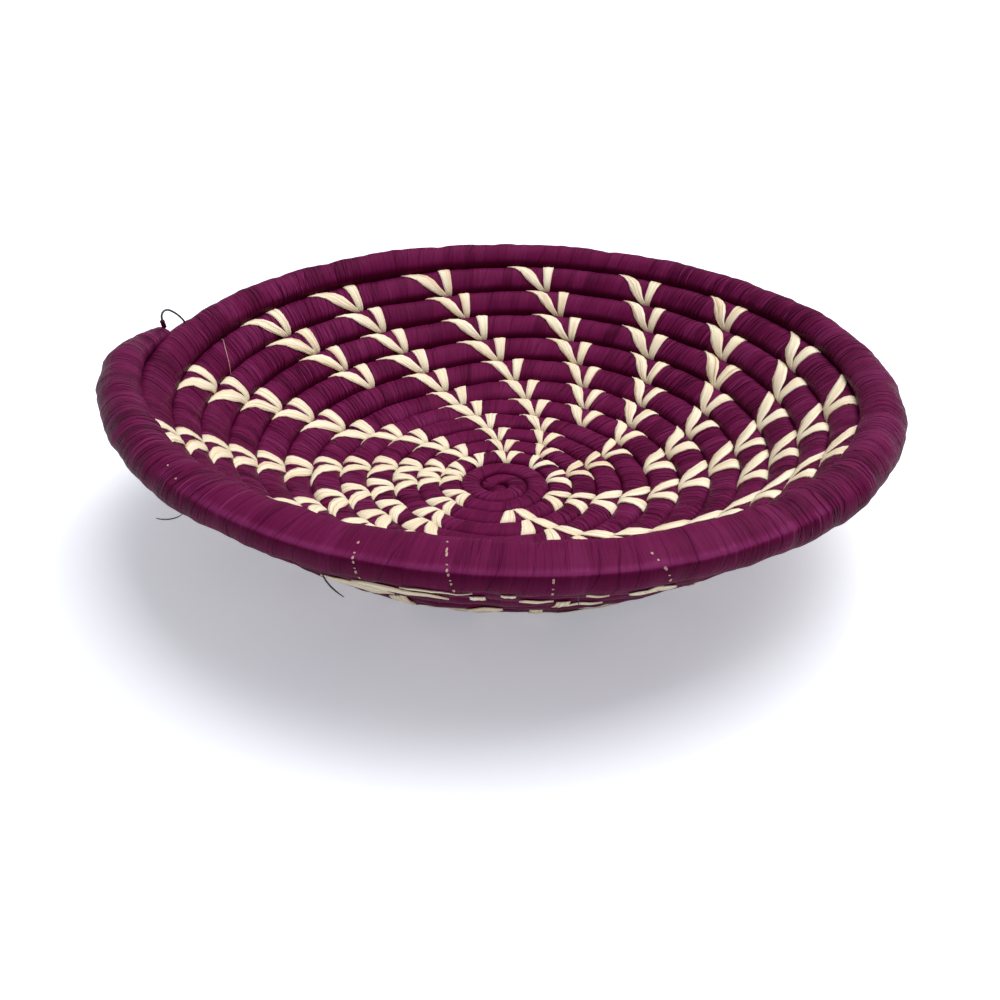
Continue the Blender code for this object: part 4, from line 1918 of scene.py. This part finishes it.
    def build_ray(self, ray: int, material: Material) -> None:
        """Builds one ray from all its stitches.

        Args:
            ray: The ray's number.
            material: The cream raffia.
        """
        winding, pieces = self.ribbon.winding, []
        for turn in self.stitch_turns(ray):
            pieces.append(self.lay_arm(ray, turn, self.square_arm))
            pieces.append(self.lay_arm(ray, turn, self.drift_arm))
            pieces.append(self.lay_foot(ray, turn))
            low = winding.centre(np.array([turn]))[0, 2] - float(winding.girth(turn))
            if low > self.outside_height and not self.outside.holds(turn):
                pieces.append(self.lay_crossing(ray, turn))
                if (ray + int(turn)) % self.float_skip > 0:
                    pieces.append(self.lay_float(ray, turn))
        name = f"accent_strand_{ray + 1:02d}"
        finish_piece(join(pieces), f"cream_ray_{ray + 1:02d}", material, Slot.CREAM, name)

    def build(self, material: Material) -> None:
        """Builds all the rays in this raffia."""
        for ray in range(len(self.lines)):
            self.build_ray(ray, material)


@dataclass
class Studio:
    """Floor, camera and soft light."""

    axis: Pair = (1.3 * MM, 2.6 * MM)
    distance: float = 0.385
    elevation: float = math.radians(31.2)
    pitch: float = math.radians(31.35)
    yaw: float = math.radians(-0.3)
    roll: float = math.radians(0.95)
    lens: float = 40.0
    sensor: float = 36.0
    nearest: float = 0.01
    floor_size: float = 6.0
    floor_colour: Colour = (0.93, 0.95, 1.0)
    floor_bounce: Colour = (0.78, 0.79, 0.82)
    # Glow of the floor near the bowl as the camera sees it, which lightens the shadow, and painted fill light
    # that the floor throws on the bowl.
    floor_glow: Colour = (0.32, 0.325, 0.355)
    floor_fill_glow: Colour = (0.14, 0.14, 0.145)
    floor_fade: Pair = (0.26, 0.60)
    floor_roughness: float = 0.9
    sky_colour: Colour = (0.95, 0.97, 1.0)
    sky_strength: float = 0.36
    lamp_place: tuple[float, float, float] = (0.26, 0.16, 1.05)
    lamp_aim: tuple[float, float, float] = (0.0, 0.0, 0.03)
    lamp_size: float = 1.0
    lamp_power: float = 13.5

    def add_camera(self) -> None:
        """Sets the camera where the photograph was taken from."""
        data = bpy.data.cameras.new("camera")
        data.lens = self.lens
        data.sensor_width = self.sensor
        data.clip_start = self.nearest
        camera = put("camera", data)
        forward = Vector((
            math.sin(self.yaw) * math.cos(self.pitch),
            math.cos(self.yaw) * math.cos(self.pitch),
            -math.sin(self.pitch),
        ))
        level = Vector((math.cos(self.yaw), -math.sin(self.yaw), 0.0))
        upright = level.cross(forward)
        right = level * math.cos(self.roll) + upright * math.sin(self.roll)
        top = upright * math.cos(self.roll) - level * math.sin(self.roll)
        place = Vector((
            self.axis[0],
            self.axis[1] - self.distance * math.cos(self.elevation),
            self.distance * math.sin(self.elevation),
        ))
        camera.matrix_world = Matrix((
            (right.x, top.x, -forward.x, place.x),
            (right.y, top.y, -forward.y, place.y),
            (right.z, top.z, -forward.z, place.z),
            (0.0, 0.0, 0.0, 1.0),
        ))
        bpy.context.scene.camera = camera

    def add_floor(self) -> None:
        """Lays a pale floor that shows the bowl's shadow and glows with painted light."""
        bpy.ops.object.select_all(action="DESELECT")
        bpy.ops.mesh.primitive_plane_add(size=self.floor_size, location=(0.0, 0.0, 0.0))
        floor = bpy.context.object
        floor.name = "floor"
        bench = Bench("pale floor")
        seen = bench.tone("ShaderNodeLightPath", {}, {}, "Is Camera Ray")
        x, y, _ = bench.spot()
        far = ((x * x + y * y) ** 0.5).ease(*self.floor_fade)
        glow = bench.mix(far, self.floor_glow, WHITE)
        bench.drive("Base Color", bench.mix(seen, self.floor_bounce, self.floor_colour))
        bench.drive("Roughness", self.floor_roughness)
        bench.drive("Specular IOR Level", 0.0)
        # The floor glows: faintly as painted fill light on the bowl, and, as the camera sees it, enough to
        # lighten the shadow near the bowl and turn white far off.
        bench.drive("Emission Color", bench.mix(seen, self.floor_fill_glow, glow))
        bench.drive("Emission Strength", 1.0)
        floor.data.materials.append(bench.material)

    def add_lamp(self) -> None:
        """Adds one soft square lamp that points at the bowl."""
        data = bpy.data.lights.new("overhead", "AREA")
        data.size = self.lamp_size
        data.energy = self.lamp_power
        lamp = put("overhead", data)
        lamp.location = self.lamp_place
        aim = Vector(self.lamp_aim) - Vector(self.lamp_place)
        lamp.rotation_euler = aim.to_track_quat("-Z", "Y").to_euler()

    def add_sky(self) -> None:
        """Lights the scene evenly from all round, and shows as plain white where no floor lies."""
        world = bpy.data.worlds.new("studio")
        world.use_nodes = True
        world.node_tree.nodes.clear()
        nodes = Nodes(world.node_tree)
        seen = nodes.tone("ShaderNodeLightPath", {}, {}, "Is Camera Ray")
        light, white = (
            nodes.tone("ShaderNodeBackground", {}, {"Color": (*colour, 1.0), "Strength": strength})
            for colour, strength in ((self.sky_colour, self.sky_strength), (WHITE, 1.0))
        )
        either = nodes.tone("ShaderNodeMixShader", {}, {0: seen, 1: light, 2: white})
        nodes.node("ShaderNodeOutputWorld", {}, {"Surface": either})
        bpy.context.scene.world = world

    def build(self) -> None:
        """Sets the camera, the floor and the lights."""
        self.add_camera()
        self.add_floor()
        self.add_sky()
        self.add_lamp()
        bpy.context.scene.view_settings.view_transform = "Standard"


def main() -> None:
    """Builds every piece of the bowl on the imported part, then the studio round it."""
    logging.basicConfig(level=logging.INFO, format="%(name)s %(message)s")
    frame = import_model()
    LOG.info("the part has %d solids", len(frame["nodes"]))
    winding = Winding()
    plum = WrapFinish().make()
    cream = StrandFinish().make()
    stalk = StalkFinish().make()
    cord = CordFinish().make()
    nick = NICK_FINISH.make()
    WrappedCoil(winding).build(plum)
    StalkBundle(winding).build(stalk)
    ribbon = Ribbon(winding)
    outside = OutsideFront()
    StitchRays(ribbon, outside).build(cream)
    outside.build(ribbon, cream)
    Nicks().build(ribbon, nick)
    ribbon.clear()
    StrayFibres().build(winding, cord, nick)
    Knots(winding).build(plum)
    HangingLoop(winding, Thread()).build(cord, plum)
    Studio().build()


if __name__ == "__main__":
    main()
